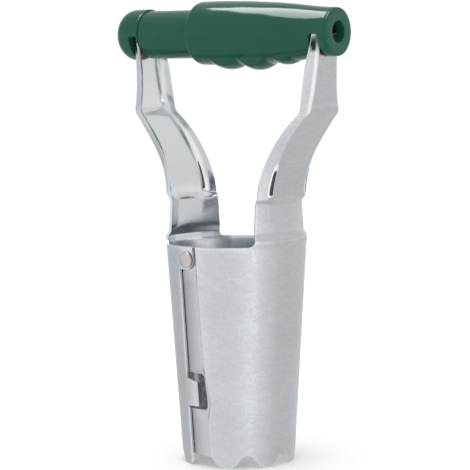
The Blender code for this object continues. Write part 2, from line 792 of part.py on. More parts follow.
def build_grip(plastic, parent):
    """Outer grip with its finger ridges, stepped bore and end hole."""
    bm = bmesh.new()
    rings = [add_ring(bm, grip_radius_at(along), along, HANDLE_SIDES) for along in grip_ring_places()]
    end_radius = grip_radius_from(GRIP_OUTLINE_SHARES, END_FACE_REACH) - GRIP_END_FILLET
    wide_bore = INNER_TUBE_RADIUS + GRIP_BORE_CLEARANCE
    step_place = GRIP_START + GRIP_BORE_DEPTH
    inner_profile = (
        (END_FACE_REACH, end_radius),
        (END_FACE_REACH, GRIP_HOLE_RADIUS),
        (SLOT_WALL_REACH, GRIP_HOLE_RADIUS),
        (SLOT_WALL_REACH, SPRING_BORE_RADIUS),
        (step_place, SPRING_BORE_RADIUS),
        (step_place, wide_bore),
        (GRIP_START, wide_bore),
    )
    for along, radius in inner_profile:
        rings.append(add_ring(bm, lambda _, r=radius: r, along, HANDLE_SIDES))
    for before, behind in zip(rings, rings[1:] + rings[:1]):
        join_rings(bm, before, behind)
    mesh = finish_mesh("hand_grip", bm)
    mesh.transform(handle_frame())
    pivot = Vector((SLOT_WALL_REACH, 0, ARM_TOP_HEIGHT))
    grip = mesh_object("hand_grip", mesh, plastic, pivot, parent)
    cut(grip, slot_cutter("grip_slot_cutter", 1, parent))
    return grip


# Return spring

def spring_half_length():
    """Half the length between the ends of the spring's wire."""
    low_point = HANDLE_AXIS_HEIGHT - SPRING_COIL_RADIUS - SPRING_WIRE_RADIUS
    web_inner_face = web_reach(low_point) - SHEET_THICKNESS
    return web_inner_face - SPRING_END_CLEARANCE - SPRING_WIRE_RADIUS


def build_spring(steel, parent):
    """Coil spring between the two arms, inside the handle."""
    half = spring_half_length()
    count = SPRING_TURNS * SPRING_POINTS_PER_TURN
    curve = bpy.data.curves.new("return_spring", "CURVE")
    curve.dimensions = "3D"
    curve.bevel_depth = SPRING_WIRE_RADIUS
    curve.bevel_resolution = 1
    curve.use_fill_caps = True
    spline = curve.splines.new("POLY")
    spline.points.add(count)
    for step in range(count + 1):
        angle = 2 * pi * step / SPRING_POINTS_PER_TURN
        along = mix(-half, half, step / count)
        place = (along, SPRING_COIL_RADIUS * sin(angle), -SPRING_COIL_RADIUS * cos(angle), 1)
        spline.points[step].co = place
    curve.materials.append(steel)
    spring = bpy.data.objects.new("return_spring", curve)
    spring.location = (0, 0, HANDLE_AXIS_HEIGHT)
    spring.parent = parent
    bpy.context.scene.collection.objects.link(spring)
    gap = 2 * half / SPRING_TURNS - 2 * SPRING_WIRE_RADIUS
    print("least gap between the spring's turns, mm:", round(gap / MILLIMETRE, 2))
    return spring


# Motion

def print_motion():
    """Print the places and axes that the joints use, in world metres."""
    shift = Vector((body_shift(), 0, 0))
    front = turn_about_z(pivot_angle()) @ Vector((1, 0, 0))
    print("rivet line through", shift + Vector((0, 0, PIVOT_HEIGHT)), "along", -front)
    print("grip pivot", shift + Vector((SLOT_WALL_REACH, 0, ARM_TOP_HEIGHT)))


def turn_about_z(angle):
    """Rotation about the tube's middle."""
    return Matrix.Rotation(angle, 4, "Z")


def body_shift():
    """Shift that puts the middle of the whole planter over the origin."""
    return (DOME_START_REACH + DOME_DEPTH - END_FACE_REACH) / 2


def main():
    """Build the whole planter."""
    clear_scene()
    root = bpy.data.objects.new("planter", None)
    root.location = (body_shift(), 0, 0)
    bpy.context.scene.collection.objects.link(root)
    steel = make_material("zinc_plated_steel", (0.62, 0.63, 0.64), 0.38, 1.0)
    rivet_steel = make_material("rivet_steel", (0.55, 0.56, 0.57), 0.35, 1.0)
    spring_steel = make_material("spring_steel", (0.30, 0.30, 0.31), 0.40, 1.0)
    plastic = make_material("green_plastic", (0.010, 0.150, 0.085), 0.22, 0.0)
    tooth_gaps = tooth_gap_cutter(root)
    rivet_holes = rivet_hole_cutter(root)
    turned_gaps = turned_copy(tooth_gaps, HALF_TURN)
    ground = ground_cutter(root)
    build_shell("right_shell", Matrix.Identity(4), steel, (tooth_gaps, rivet_holes, ground), root)
    build_shell("left_shell", HALF_TURN, steel, (turned_gaps, rivet_holes, ground), root)
    build_rivet("front_rivet", pivot_angle(), rivet_steel, root)
    build_rivet("rear_rivet", pivot_angle() + pi, rivet_steel, root)
    build_inner_tube(plastic, root)
    build_grip(plastic, root)
    build_spring(spring_steel, root)
    print_motion()


if __name__ == "__main__":
    main()
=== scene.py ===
import json
from math import atan, cos, exp, pi, radians, sin, sqrt

import bmesh
import bpy
from bpy.props import FloatProperty, FloatVectorProperty, IntProperty, PointerProperty
from mathutils import Matrix, Vector


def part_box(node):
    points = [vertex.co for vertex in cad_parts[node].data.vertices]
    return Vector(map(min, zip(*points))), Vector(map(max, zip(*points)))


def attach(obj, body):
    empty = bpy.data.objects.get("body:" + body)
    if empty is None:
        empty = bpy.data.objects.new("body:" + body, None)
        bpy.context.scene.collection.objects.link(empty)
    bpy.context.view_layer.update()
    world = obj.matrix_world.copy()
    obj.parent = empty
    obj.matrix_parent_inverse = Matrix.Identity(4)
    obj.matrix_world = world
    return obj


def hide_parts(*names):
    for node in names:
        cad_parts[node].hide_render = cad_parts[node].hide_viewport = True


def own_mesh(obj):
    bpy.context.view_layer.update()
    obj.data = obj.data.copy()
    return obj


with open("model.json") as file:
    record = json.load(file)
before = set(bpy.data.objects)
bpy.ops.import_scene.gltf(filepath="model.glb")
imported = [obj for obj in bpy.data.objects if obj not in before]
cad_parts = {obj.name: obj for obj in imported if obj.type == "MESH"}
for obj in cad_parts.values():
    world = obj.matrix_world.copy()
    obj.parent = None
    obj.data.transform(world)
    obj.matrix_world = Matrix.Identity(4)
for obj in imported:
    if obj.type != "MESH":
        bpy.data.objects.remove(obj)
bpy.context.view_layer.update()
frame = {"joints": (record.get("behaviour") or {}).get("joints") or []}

bl_info = {
    "name": "Bulb Planter",
    "version": (1, 0, 0),
    "blender": (4, 5, 0),
    "location": "View3D > Sidebar > Planter",
    "description": "Models and finishes a hand bulb planter with a squeeze handle",
    "category": "Add Mesh",
}

JOINTS = {joint["name"]: joint for joint in frame["joints"]}
HINGE_PLACE = Vector(JOINTS["shell_hinge"]["pos_m"])
HINGE_AXIS = Vector(JOINTS["shell_hinge"]["axis"])
TUBE_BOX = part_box("handle_tube")
GRIP_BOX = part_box("hand_grip")
SPRING_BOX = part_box("return_spring")
AXIS_X = HINGE_PLACE.x


def length(description, default):
    """Property for a length in metres."""
    unit = dict(unit="LENGTH", precision=5)
    return FloatProperty, dict(description=description, default=default, **unit)


def angle(description, default):
    """Property for an angle, its default in degrees."""
    return FloatProperty, dict(description=description, default=radians(default), unit="ROTATION")


def colour(description, default):
    """Property for a colour."""
    limits = dict(subtype="COLOR", min=0, max=1)
    return FloatVectorProperty, dict(description=description, default=default, **limits)


def share(description, default):
    """Property for a number that has no unit."""
    return FloatProperty, dict(description=description, default=default)


def titled(group):
    """Give each property of a group its own name as its title."""
    for name, (kind, settings) in group.__annotations__.items():
        title = name.replace("_", " ").capitalize()
        group.__annotations__[name] = kind(name=title, **settings)
    return group


@titled
class TubeSizes(bpy.types.PropertyGroup):
    """Sizes of the toothed tube that the two steel halves form."""

    sheet: length("Thickness of the steel", 0.0012)
    mouth_radius: length("Outer radius at the tips of the teeth", 0.0287)
    rim_radius: length("Outer radius at the rim", 0.03585)
    rim_height: length("Height of the rim over the ground", 0.1124)
    tooth_depth: length("Height of the valleys between the teeth", 0.0068)
    tooth_tip: length("Width of a tooth at its tip", 0.0070)
    tooth_root: length("Width of a tooth at its root", 0.0168)
    tooth_rounding: length("Reach over which a tooth's corners are rounded", 0.0019)
    tooth_pitch: angle("Angle from tooth to tooth", 42.5)
    first_tooth: angle("Place of the first tooth from the arm's middle", -67.5)
    edge: angle("Angle of the half's open edge from the arm's middle", 70.7)
    step_top: angle("Angle of the seam's step at the rim", -90.0)
    step_mouth: angle("Angle of the seam's step at the mouth", -82.8)
    step_width: length("Width over which the wall steps in", 0.0014)
    strip_rise: share("How far the lapped strip rises toward the step", 0.85)
    edge_tuck: length("How far the half's open edge is tucked inward", 0.00022)
    step_bulge: length("How far the step swings out beside the window", 0.0019)
    lap_gap: length("Gap between the lapped sheets", 0.0004)
    lap_angle: angle("Angle of the lap hidden inside the other half", 35.2)
    lap_spread: length("How far the lap leaves the wall at its end", 0.0012)
    lap_foot: length("Height of the lap's foot", 0.0060)
    ear_height: length("Height of the ear at the rivet", 0.0114)
    ear_reach: length("How far the ear stands beyond the edge", 0.0102)
    tab_base: length("Height of the tab's lower edge", 0.0312)
    tab_height: length("Height of the tab", 0.0139)
    tab_reach: length("How far the tab stands beyond the edge", 0.0070)
    tab_hook: length("Depth of the tab's inward hook", 0.0045)
    window_below: length("Window's margin under the tab", 0.0016)
    window_above: length("Window's margin over the tab", 0.0031)
    window_travel: length("Width of the window from the tab's fold", 0.0146)
    window_corner: length("Rounding of the window's corners", 0.0011)


@titled
class ArmSizes(bpy.types.PropertyGroup):
    """Sizes of the arm that rises from each half."""

    root_radius: length("Outer radius of the arm's round root", 0.03485)
    root_taper: length("How much the root narrows up to the web", 0.0014)
    root_half: angle("Half the angle that the root spans at the rim", 40.2)
    waist_half: angle("Half the angle that the root spans at its top", 37.3)
    shoulder_start: length("Rise over the rim where the wall turns inward", 0.0028)
    shoulder_height: length("Rise over the rim where the root starts", 0.0066)
    shoulder_bulge: length("How far the rim swells under the shoulder", 0.0004)
    rim_fillet: length("Radius between the rim and the arm", 0.0026)
    web_base: length("Height of the flat web's lower end", 0.1360)
    web_blend: length("Height over which round turns to flat", 0.0028)
    web_base_reach: length("Web's distance from the middle at its lower end", 0.0321)
    kink: length("Height of the arm's kink", 0.1790)
    kink_reach: length("Web's distance from the middle at the kink", 0.0542)
    kink_rounding: length("Reach over which the kink is rounded", 0.0024)
    kink_flare: length("How far the kink swells outward", 0.0005)
    top: length("Height of the arm's end", 0.2174)
    top_reach: length("Web's distance from the middle at its end", 0.0575)
    sweep_power: share("How late the arm swings outward", 1.8)
    web_half: length("Half the web's greatest width", 0.0155)
    flange: length("Depth of the flanges", 0.0054)
    splay: length("How far the flanges splay", 0.0052)
    bend: length("Setback of the bend from the crease", 0.0017)
    dart_depth: length("Depth of the pressed dart beside the web", 0.0009)
    dart_width: length("Half width of the dart", 0.0017)
    dart_setback: length("How far the dart's middle lies inside the crease", 0.0002)
    dart_length: length("Length of the dart", 0.0195)
    # Reach of the painted dark reflection of the handle at the arm's end.
    rub: length("Length of the arm's end that the handle rubs", 0.0094)


@titled
class HandleSizes(bpy.types.PropertyGroup):
    """Sizes of the two-piece plastic handle, along X from the tube's middle."""

    head_radius: length("Radius of the domed head", (TUBE_BOX[1].y - TUBE_BOX[0].y) / 2)
    head_start: length("Reach of the dome's pole", AXIS_X - TUBE_BOX[0].x)
    dome_depth: length("Depth of the dome", 0.0102)
    dome_power: share("Squareness of the dome", 2.4)
    head_rim: length("Reach of the head's rim", 0.0526)
    rim_fillet: length("Rounding of the head's rim", 0.0008)
    tube_radius: length("Radius of the sliding tube", 0.0124)
    tube_end: length("Place of the tube's hidden end", TUBE_BOX[1].x - AXIS_X)
    bore: length("Radius of the spring's bore", 0.0092)
    slot_wall: length("Reach of the slots' outer walls", 0.0580)
    slot_top: length("Width of a slot at its top", 0.0050)
    slot_mouth: length("Width of a slot at the handle's underside", 0.0066)
    slot_height: length("Height of the slots' tops", 0.2177)
    grip_radius: length("Greatest radius of the grip", 0.0166)
    grip_start: length("Place of the grip's open end", GRIP_BOX[0].x - AXIS_X)
    grip_end: length("Reach of the grip's holed end", GRIP_BOX[1].x - AXIS_X)
    grip_edge: length("Rounding of the grip's open end", 0.0030)
    grip_end_fillet: length("Rounding of the grip's holed end", 0.0009)
    grip_gap: length("Clearance round the sliding tube", 0.00035)
    grip_bore_depth: length("Depth of the grip's wide bore", 0.0500)
    hole: length("Radius of the hole in the grip's end", 0.0055)
    first_ridge: length("Place of the first finger ridge", -0.0012)
    ridge_pitch: length("Distance from ridge to ridge", 0.0176)
    ridge_flank: angle("Angle from straight down where the ridges begin", 40)
    ridge_crown: angle("Angle from straight down where the ridges are full", 28)
    bead: length("Width of the bead at the grip's holed end", 0.0015)
    bead_groove: length("Depth of the groove behind the bead", 0.0003)
    wire: length("Radius of the spring's wire", 0.0007)
    travel: length("How far the head slides into the grip", 0.0166)
    turns: (IntProperty, dict(description="Turns of the return spring", default=17))


@titled
class RivetSizes(bpy.types.PropertyGroup):
    """Sizes of the two rivets."""

    shank: length("Radius of the shank", 0.0020)
    head: length("Radius of the head", 0.0041)
    head_side: length("Height of the head's straight side", 0.0010)
    head_height: length("Height of the domed head", 0.0015)
    tail: length("Radius of the peened tail", 0.0033)
    tail_height: length("Height of the peened tail", 0.0011)


@titled
class Finishes(bpy.types.PropertyGroup):
    """Colours of the planter and its stage."""

    zinc: colour("Zinc plating", (0.56, 0.57, 0.585))
    # Used both for random dulling of the plating and for the painted shade inside the flanges.
    zinc_dull_and_shade: colour("Zinc plating where it has dulled", (0.46, 0.47, 0.485))
    # Lighter copy of the plating on inner faces: painted light.
    zinc_inside_painted_light: colour("Zinc plating inside the tube and arms", (0.73, 0.74, 0.755))
    # Painted highlight inside the tube just under the rim.
    mouth_painted_highlight: colour("Bright patch inside the mouth", (0.93, 0.94, 0.96))
    # Painted shade inside the tube just under the rim.
    mouth_painted_shade: colour("Soiled patch inside the mouth", (0.22, 0.26, 0.30))
    # Painted shade inside the arms' roots just over the rim.
    ledge: colour("Inside of the shoulder over the rim", (0.40, 0.45, 0.50))
    cut_edge: colour("Rubbed edges of the sheet", (0.74, 0.75, 0.76))
    # Painted shade on the strip beside the seam.
    strip: colour("Strip beside the seam", (0.43, 0.44, 0.455))
    # Painted dark reflections inside the flanges.
    flange_painted_dark_reflection: colour("Darkest marks inside the flanges", (0.13, 0.15, 0.17))
    # Painted highlight along the arms' creases.
    crease: colour("Bright creases of the arms", (0.95, 0.96, 0.97))
    # Painted highlight round each dart.
    dart_painted_rim_highlight: colour("Bright outline of a dart", (0.90, 0.91, 0.93))
    # Painted shade at the bottom of each dart.
    dart: colour("Bottom of a dart", (0.05, 0.055, 0.06))
    # Painted dark reflection of the green handle on each arm's end.
    arm_end_painted_reflection: colour("Arm's end where the handle rubs it", (0.010, 0.030, 0.022))
    rivet: colour("Bright rivet steel", (0.46, 0.43, 0.42))
    rivet_dull: colour("Rivet steel where it has dulled", (0.40, 0.38, 0.36))
    spring: colour("Spring steel", (0.30, 0.30, 0.31))
    spring_dark: colour("Spring steel between its drawn lines", (0.20, 0.20, 0.21))
    plastic: colour("Green handle", (0.007, 0.070, 0.045))
    plastic_worn: colour("Green handle where hands rub it", (0.010, 0.082, 0.054))
    floor: colour("Pale floor", (0.93, 0.93, 0.93))
    floor_shade: colour("Darker spots of the floor", (0.92, 0.92, 0.92))


# Each row: rise up the arm, then web width, flange depth and flange splay
ARM_STATION_SHARES = (
    (0.00, 1.00, 0.83, 1.00),
    (0.15, 0.96, 0.89, 0.90),
    (0.30, 0.99, 1.05, 0.52),
    (0.42, 1.00, 1.04, 0.28),
    (0.54, 0.90, 0.96, 0.18),
    (0.64, 0.73, 0.98, 0.46),
    (0.81, 0.62, 1.00, 0.50),
    (0.93, 0.59, 0.68, 0.46),
    (1.00, 0.58, 0.54, 0.46),
)
# Each row: place along the grip, then its radius, seen from above
GRIP_OUTLINE_SHARES = (
    (0.00, 0.99),
    (0.15, 1.00),
    (0.36, 0.975),
    (0.60, 0.905),
    (0.72, 0.845),
    (0.84, 0.775),
    (0.92, 0.735),
    (1.00, 0.720),
)
# Each row: place along the grip, then its radius straight down between the ridges
GRIP_UNDERSIDE_SHARES = (
    (0.00, 0.948),
    (0.15, 0.958),
    (0.33, 0.946),
    (0.54, 0.922),
    (0.70, 0.858),
    (0.84, 0.765),
    (0.92, 0.730),
    (1.00, 0.720),
)
# Each finger ridge: its height by the grip's radius, then its width by the pitch
RIDGE_SHARES = ((0.139, 0.86), (0.181, 0.875), (0.078, 0.59))
# Where the bend starts and ends, and where the dart does, from the web's middle to the edge
BEND_START_SHARE = 0.61
BEND_END_SHARE = 0.70
DART_SHARE = 0.48
# Share of a table's length over which the corner at a row is rounded
STATION_SOFTENING = 0.04
# Width of a dart's shade at its foot and its tip, as shares of the dart's
DART_SHADE_SHARES = (0.54, 0.30)
# How bright the painted crease highlight is under the kink, and how worn the row beside a cut edge
# is
LOWER_CREASE_SHARE = 0.85
NEAR_EDGE_WEAR = 0.25
# How far the bend's face lies inside its sharp crease, by its setback
CREASE_INSET_SHARE = 0.35
# How much of the step's swing the strip follows
STRIP_SWING_SHARE = 0.4
# Where the flaps' trimmed corners start along them, and how much of their margin they take
TAB_CORNER_START = 0.8
TAB_CORNER_SHARE = 0.5
EAR_CORNER_START = 0.45
EAR_CORNER_SHARE = 0.42
# Width of the sheet's broken edges by its thickness
EDGE_BREAK_SHARE = 0.34
# Radius inside the tube near its rim, in metres
INSIDE_RADIUS = 0.035
# Each patch of the room: turn and rise of its middle, angles that it fills and ends at, gain
ROOM_PATCHES = (
    (-90, -10, 56, 70, 0.27),
    (-38, -12, 6, 24, 0.10),
    (-16, -12, 8, 34, 0.24),
    (-134, -12, 8, 26, 0.17),
    (162, -12, 10, 30, -0.12),
    (0, 90, 20, 75, 0.15),
)
# Camera: target from the tube's axis, turn from the front, rise and roll in degrees,
# distance in metres, lens in millimetres
CAMERA_TARGET = (-0.0009, 0, 0.1157)
CAMERA_TURN = 35.51
CAMERA_RISE = 5.44
CAMERA_ROLL = -0.73
CAMERA_DISTANCE = 1.0
CAMERA_LENS = 149.5
# Sides of each turned piece, and steps in one turn of the spring
GRIP_SIDES = 128
HEAD_SIDES = 96
RIVET_SIDES = 48
COIL_STEPS = 28
# Rows nearer than this are at one height, and vertices nearer than this are one, in metres
SAME_HEIGHT = 0.000012
SAME_PLACE = 0.000001


# Helpers

def mix(start, end, part):
    """Blend two values."""
    return start + (end - start) * part


def smooth(part):
    """Ease a share in and out, held between 0 and 1."""
    part = min(max(part, 0.0), 1.0)
    return part * part * (3 - 2 * part)


def steps(start, end, count):
    """Evenly spaced values from start up to but not including end."""
    return [mix(start, end, step / count) for step in range(count)]


def rows_between(marks):
    """Rows through marks, each with the count of rows from it to the next one."""
    rows = []
    for (low, count), (high, _) in zip(marks, marks[1:]):
        rows += steps(low, high, count)
    return rows + [marks[-1][0]]


def soften(function, place, reach):
    """Mean of a function around a place, which rounds its corners."""
    samples = [function(place + reach * (step - 4) / 4) for step in range(9)]
    return sum(samples[1:], samples[0]) / len(samples)


def read_shares(table, place):
    """Read a table of shares, going straight from row to row."""
    for lower, upper in zip(table, table[1:]):
        if place <= upper[0]:
            break
    part = min(max((place - lower[0]) / (upper[0] - lower[0]), 0.0), 1.0)
    return [mix(low, high, part) for low, high in zip(lower[1:], upper[1:])]


def read_softly(table, place):
    """Read a table of shares with the corners between its rows rounded."""
    columns = range(len(table[0]) - 1)

    def one(column):
        return soften(lambda at: read_shares(table, at)[column], place, STATION_SOFTENING)

    return [one(column) for column in columns]


def bell(distance, width):
    """Bell curve, 1 in its middle."""
    return exp(-((distance / width) ** 2))


def polar(radius, turn, height):
    """Point at an angle from the middle of the arm, which lies at +X."""
    return Vector((radius * cos(turn), radius * sin(turn), height))


# Steel halves: the wall

def wall_radius(tube, height):
    """Outer radius of the tapered tube."""
    return mix(tube.mouth_radius, tube.rim_radius, height / tube.rim_height)


def lap_depth(tube):
    """How far the lapped wall lies inside the open one."""
    return tube.sheet + tube.lap_gap


def step_angle(tube, height):
    """Angle of the seam's step where nothing bends it."""
    return mix(tube.step_mouth, tube.step_top, height / tube.rim_height)


def step_crest_angle(tube, height):
    """Angle of the step's crest, which swings out beside the window."""
    middle = tube.tab_base + tube.tab_height / 4
    swing = tube.step_bulge * bell(height - middle, tube.tab_height * 0.55)
    return step_angle(tube, height) + swing / wall_radius(tube, height)


def clear_of_flaps(tube, height, margin, reach):
    """0 beside the ear and the tab, 1 away from both."""
    from_ear = (tube.rim_height - tube.ear_height - height) / tube.tab_hook
    from_middle = abs(height - tube.tab_base - tube.tab_height / 2)
    from_tab = (from_middle - tube.tab_height / 2 - margin) / reach
    return smooth(from_ear) * smooth(from_tab)


def tooth_outline(tube, along):
    """Height of the wall's sharp-cornered foot, at an arc from a tooth's middle."""
    pitch = tube.tooth_pitch * tube.mouth_radius
    along = abs((along + pitch / 2) % pitch - pitch / 2)
    run = (tube.tooth_root - tube.tooth_tip) / 2
    return tube.tooth_depth * min(max((along - tube.tooth_tip / 2) / run, 0.0), 1.0)


def foot_height(tube, turn):
    """Height of the wall's rounded foot at an angle."""
    along = (turn - tube.first_tooth) * tube.mouth_radius
    return soften(lambda place: tooth_outline(tube, place), along, tube.tooth_rounding)


def wall_place(tube, turn, depth, height, lapped):
    """Point of the wall, its rows drawn down between the teeth."""
    foot = tube.lap_foot if lapped else foot_height(tube, turn)
    calm = tube.tooth_depth * 2
    if height < calm:
        height = mix(foot, calm, height / calm)
    return polar(wall_radius(tube, height) - depth, turn, height)


def seam_columns(tube):
    """Columns from the lap's hidden end to the step's crest, as functions of height."""
    depth = lap_depth(tube)
    under_edge = tube.edge - pi

    def window_end(height):
        return (tube.window_travel - tube.tab_reach) / wall_radius(tube, height)

    def lap(reach_at):
        def column(height):
            reach = reach_at(height)
            spread = tube.lap_spread * reach / tube.lap_angle
            return wall_place(tube, under_edge - reach, depth + spread, height, True)
        return column

    def hidden(part):
        return lap(lambda height: mix(window_end(height), tube.lap_angle, part))

    def beside_window(part):
        return lap(lambda height: window_end(height) * part)

    def rise(height):
        """How far the strip rises toward the step, away from the ear and the tab."""
        clear = clear_of_flaps(tube, height, tube.tab_height * 0.1, tube.tab_hook)
        return depth * tube.strip_rise * clear

    def strip(part):
        def column(height):
            offset = (tube.step_width + tube.sheet / 4) / wall_radius(tube, height)
            crest = step_crest_angle(tube, height)
            end = mix(step_angle(tube, height), crest, STRIP_SWING_SHARE) - offset
            turn = mix(under_edge, end, part)
            return wall_place(tube, turn, depth - rise(height) * part, height, True)
        return column

    def step(part):
        def column(height):
            back = tube.step_width * (1 - part) / wall_radius(tube, height)
            inside = (depth - rise(height)) * (1 - smooth(part))
            turn = step_crest_angle(tube, height) - back
            return wall_place(tube, turn, inside, height, part < 0.5)
        return column

    columns = [(hidden(part), "lap") for part in steps(1, 0, 6)]
    columns += [(beside_window(part), "window") for part in steps(1, 0, 5)]
    columns += [(strip(part), "window") for part in steps(0, 1, 10)] + [(strip(1.0), "lap")]
    return columns + [(step(part), "lap") for part in steps(0, 1, 8)]


def arm_shares():
    """Shares of the arm's section, from edge to edge with 0 in its middle."""
    half = steps(1, BEND_END_SHARE, 8) + steps(BEND_END_SHARE, BEND_START_SHARE, 8)
    half += steps(BEND_START_SHARE, DART_SHARE, 8) + steps(DART_SHARE, 0, 10)
    return [-part for part in half] + [0] + half[::-1]


def wall_columns(tube, arm):
    """All columns round one half, each with the kind of strip after it."""
    half = root_half_angle(tube, arm, tube.rim_height)
    near_edge = tube.edge - tube.sheet / tube.mouth_radius

    def upright(turn):
        return lambda height: wall_place(tube, turn, 0, height, False)

    def beside_step(part):
        def column(height):
            turn = mix(step_crest_angle(tube, height), -half, part)
            return wall_place(tube, turn, 0, height, False)
        return column

    def tucked(part):
        def column(height):
            reach = tube.sheet * (1 - part) / wall_radius(tube, height)
            tuck = tube.edge_tuck * part ** 2 * clear_of_flaps(tube, height, 0, tube.sheet)
            return wall_place(tube, tube.edge - reach, tuck, height, False)
        return column

    columns = seam_columns(tube)
    columns += [(beside_step(part), "wall") for part in steps(0, 1, 26)]
    columns += [(upright(part * half), "arm") for part in arm_shares()[:-1]]
    columns += [(upright(turn), "wall") for turn in steps(half, near_edge, 15)]
    return columns + [(tucked(0.0), "wall"), (tucked(0.5), "wall"), (tucked(1.0), "edge")]


def wall_heights(tube):
    """Heights of the wall's rows, at every edge that they must meet."""
    tab_top = tube.tab_base + tube.tab_height
    marks = (
        (tube.tooth_depth * 2, 7),
        (tube.tab_base - tube.window_below, 2),
        (tube.tab_base, 8),
        (tab_top, 2),
        (tab_top + tube.window_above, 22),
        (tube.rim_height - tube.ear_height, 7),
        (tube.rim_height, 0),
    )
    return [marks[0][0] * part ** 1.3 for part in steps(0, 1, 10)] + rows_between(marks)


# Steel halves: the arm

def root_half_angle(tube, arm, height):
    """Half the angle that the arm spans where it is still round."""
    part = (height - tube.rim_height) / (arm.web_base - tube.rim_height)
    rise = min((height - tube.rim_height) / arm.rim_fillet, 1.0)
    flare = arm.rim_fillet * (1 - sqrt(1 - (1 - rise) ** 2))
    return mix(arm.root_half, arm.waist_half, part) + flare / tube.rim_radius


def root_radius(tube, arm, height):
    """Outer radius of the arm's round root: a bulge, then a step inward."""
    rise = height - tube.rim_height
    bulge = arm.shoulder_bulge * sin(pi / 2 * min(rise / arm.shoulder_start, 1.0))
    part = (rise - arm.shoulder_start) / (arm.shoulder_height - arm.shoulder_start)
    taper = arm.root_taper * rise / (arm.web_base - tube.rim_height)
    return mix(tube.rim_radius + bulge, arm.root_radius - taper, smooth(part))


def sharp_reach(arm, height):
    """Distance of the web's outer face from the middle, with a sharp kink."""
    if height < arm.kink:
        part = max((height - arm.web_base) / (arm.kink - arm.web_base), 0.0)
        return mix(arm.web_base_reach, arm.kink_reach, part ** arm.sweep_power)
    return mix(arm.kink_reach, arm.top_reach, (height - arm.kink) / (arm.top - arm.kink))


def web_reach(arm, height):
    """Distance of the web's outer face from the middle, with its kink rounded."""
    flare = arm.kink_flare * bell(height - arm.kink, arm.kink_rounding)
    return soften(lambda place: sharp_reach(arm, place), height, arm.kink_rounding) + flare


def web_point(arm, height, part):
    """Point of the pressed channel, from the web's middle at 0 to the flange's edge at 1."""
    rise = (height - arm.web_base) / (arm.top - arm.web_base)
    web, depth, splay = read_softly(ARM_STATION_SHARES, rise)
    crease = Vector((web_reach(arm, height), web * arm.web_half, height))
    edge = crease + Vector((-depth * arm.flange, splay * arm.splay, 0))
    bend_start = crease - Vector((0, arm.bend, 0))
    bend_end = crease + (edge - crease).normalized() * arm.bend
    if part < BEND_START_SHARE:
        middle = Vector((crease.x, 0, height))
        return middle.lerp(bend_start, part / BEND_START_SHARE)
    if part > BEND_END_SHARE:
        return bend_end.lerp(edge, (part - BEND_END_SHARE) / (1 - BEND_END_SHARE))
    turn = (part - BEND_START_SHARE) / (BEND_END_SHARE - BEND_START_SHARE)
    return bend_start.lerp(crease, turn).lerp(crease.lerp(bend_end, turn), turn)


def dart_push(arm, height, across):
    """How far the dart at a lower corner of the web is pressed outward."""
    rise = (height - arm.web_base) / arm.dart_length
    if rise > 1:
        return 0.0
    depth = arm.dart_depth * (1 - max(rise, 0.0)) ** 0.5
    foot = smooth((height - arm.web_base) / arm.dart_width)
    return depth * foot * bell(across, arm.dart_width * mix(1.0, 0.4, max(rise, 0.0)))


def crease_place(arm, height):
    """How far the web's crease lies from the web's middle."""
    rise = max(height - arm.web_base, 0.0) / (arm.top - arm.web_base)
    return arm.web_half * read_softly(ARM_STATION_SHARES, rise)[0]


def arm_point(tube, arm, height, part):
    """Point of the arm on its outer face, part running from the middle to the edge."""
    side = -1 if part < 0 else 1
    part = abs(part)
    half = root_half_angle(tube, arm, height)
    root = polar(root_radius(tube, arm, height), half * part, height)
    blend = smooth((height - arm.web_base + arm.web_blend) / arm.web_blend)
    if blend > 0:
        web = web_point(arm, max(height, arm.web_base), part)
        web.z = height
        web.x += dart_push(arm, height, web.y - crease_place(arm, height) + arm.dart_setback)
        root = root.lerp(web, blend)
    return Vector((root.x, root.y * side, root.z))


def arm_heights(tube, arm):
    """Heights of the arm's rows above the rim."""
    rim = tube.rim_height
    marks = (
        (rim + arm.rim_fillet, 6),
        (rim + arm.shoulder_height, 9),
        (arm.web_base - arm.web_blend, 5),
        (arm.web_base, 4),
        (arm.web_base + arm.dart_width * 2, 34),
        (arm.kink - arm.kink_rounding * 2, 8),
        (arm.kink + arm.kink_rounding * 2, 18),
        (arm.top, 0),
    )
    fillet = [rim + arm.rim_fillet * part for part in (0.04, 0.14, 0.3, 0.5, 0.74)]
    return fillet + rows_between(marks)


# Steel halves: the whole sheet

def sheet_grid(columns, heights, dulled):
    """Grid of quads over columns and rows, painted shade marked on its first columns, and its
    vertices.
    """
    count, rows = len(columns), len(heights)
    bm = bmesh.new()
    bmesh.ops.create_grid(bm, x_segments=count - 1, y_segments=rows - 1, size=1)
    # Mark for the painted shade on the seam's strip columns.
    strip = bm.verts.layers.float.new("strip_painted_shade")
    bm.verts.ensure_lookup_table()
    table = {(index % count, index // count): bm.verts[index] for index in range(count * rows)}
    for (column, row), vertex in table.items():
        vertex.co = columns[column][0](heights[row])
        vertex[strip] = smooth((dulled - column) / 1.5)
    return bm, table


def extrude_row(bm, vertices, places):
    """Extrude a run of vertices and put the new ones at their places."""
    edges = []
    for first, second in zip(vertices, vertices[1:]):
        edges += [edge for edge in first.link_edges if second in edge.verts]
    made = bmesh.ops.extrude_edge_only(bm, edges=edges)
    new = {item for item in made["geom"] if isinstance(item, bmesh.types.BMVert)}
    row = []
    for vertex, place in zip(vertices, places):
        ends = [edge.other_vert(vertex) for edge in vertex.link_edges]
        row.append(next(end for end in ends if end in new))
        row[-1].co = place
    return row


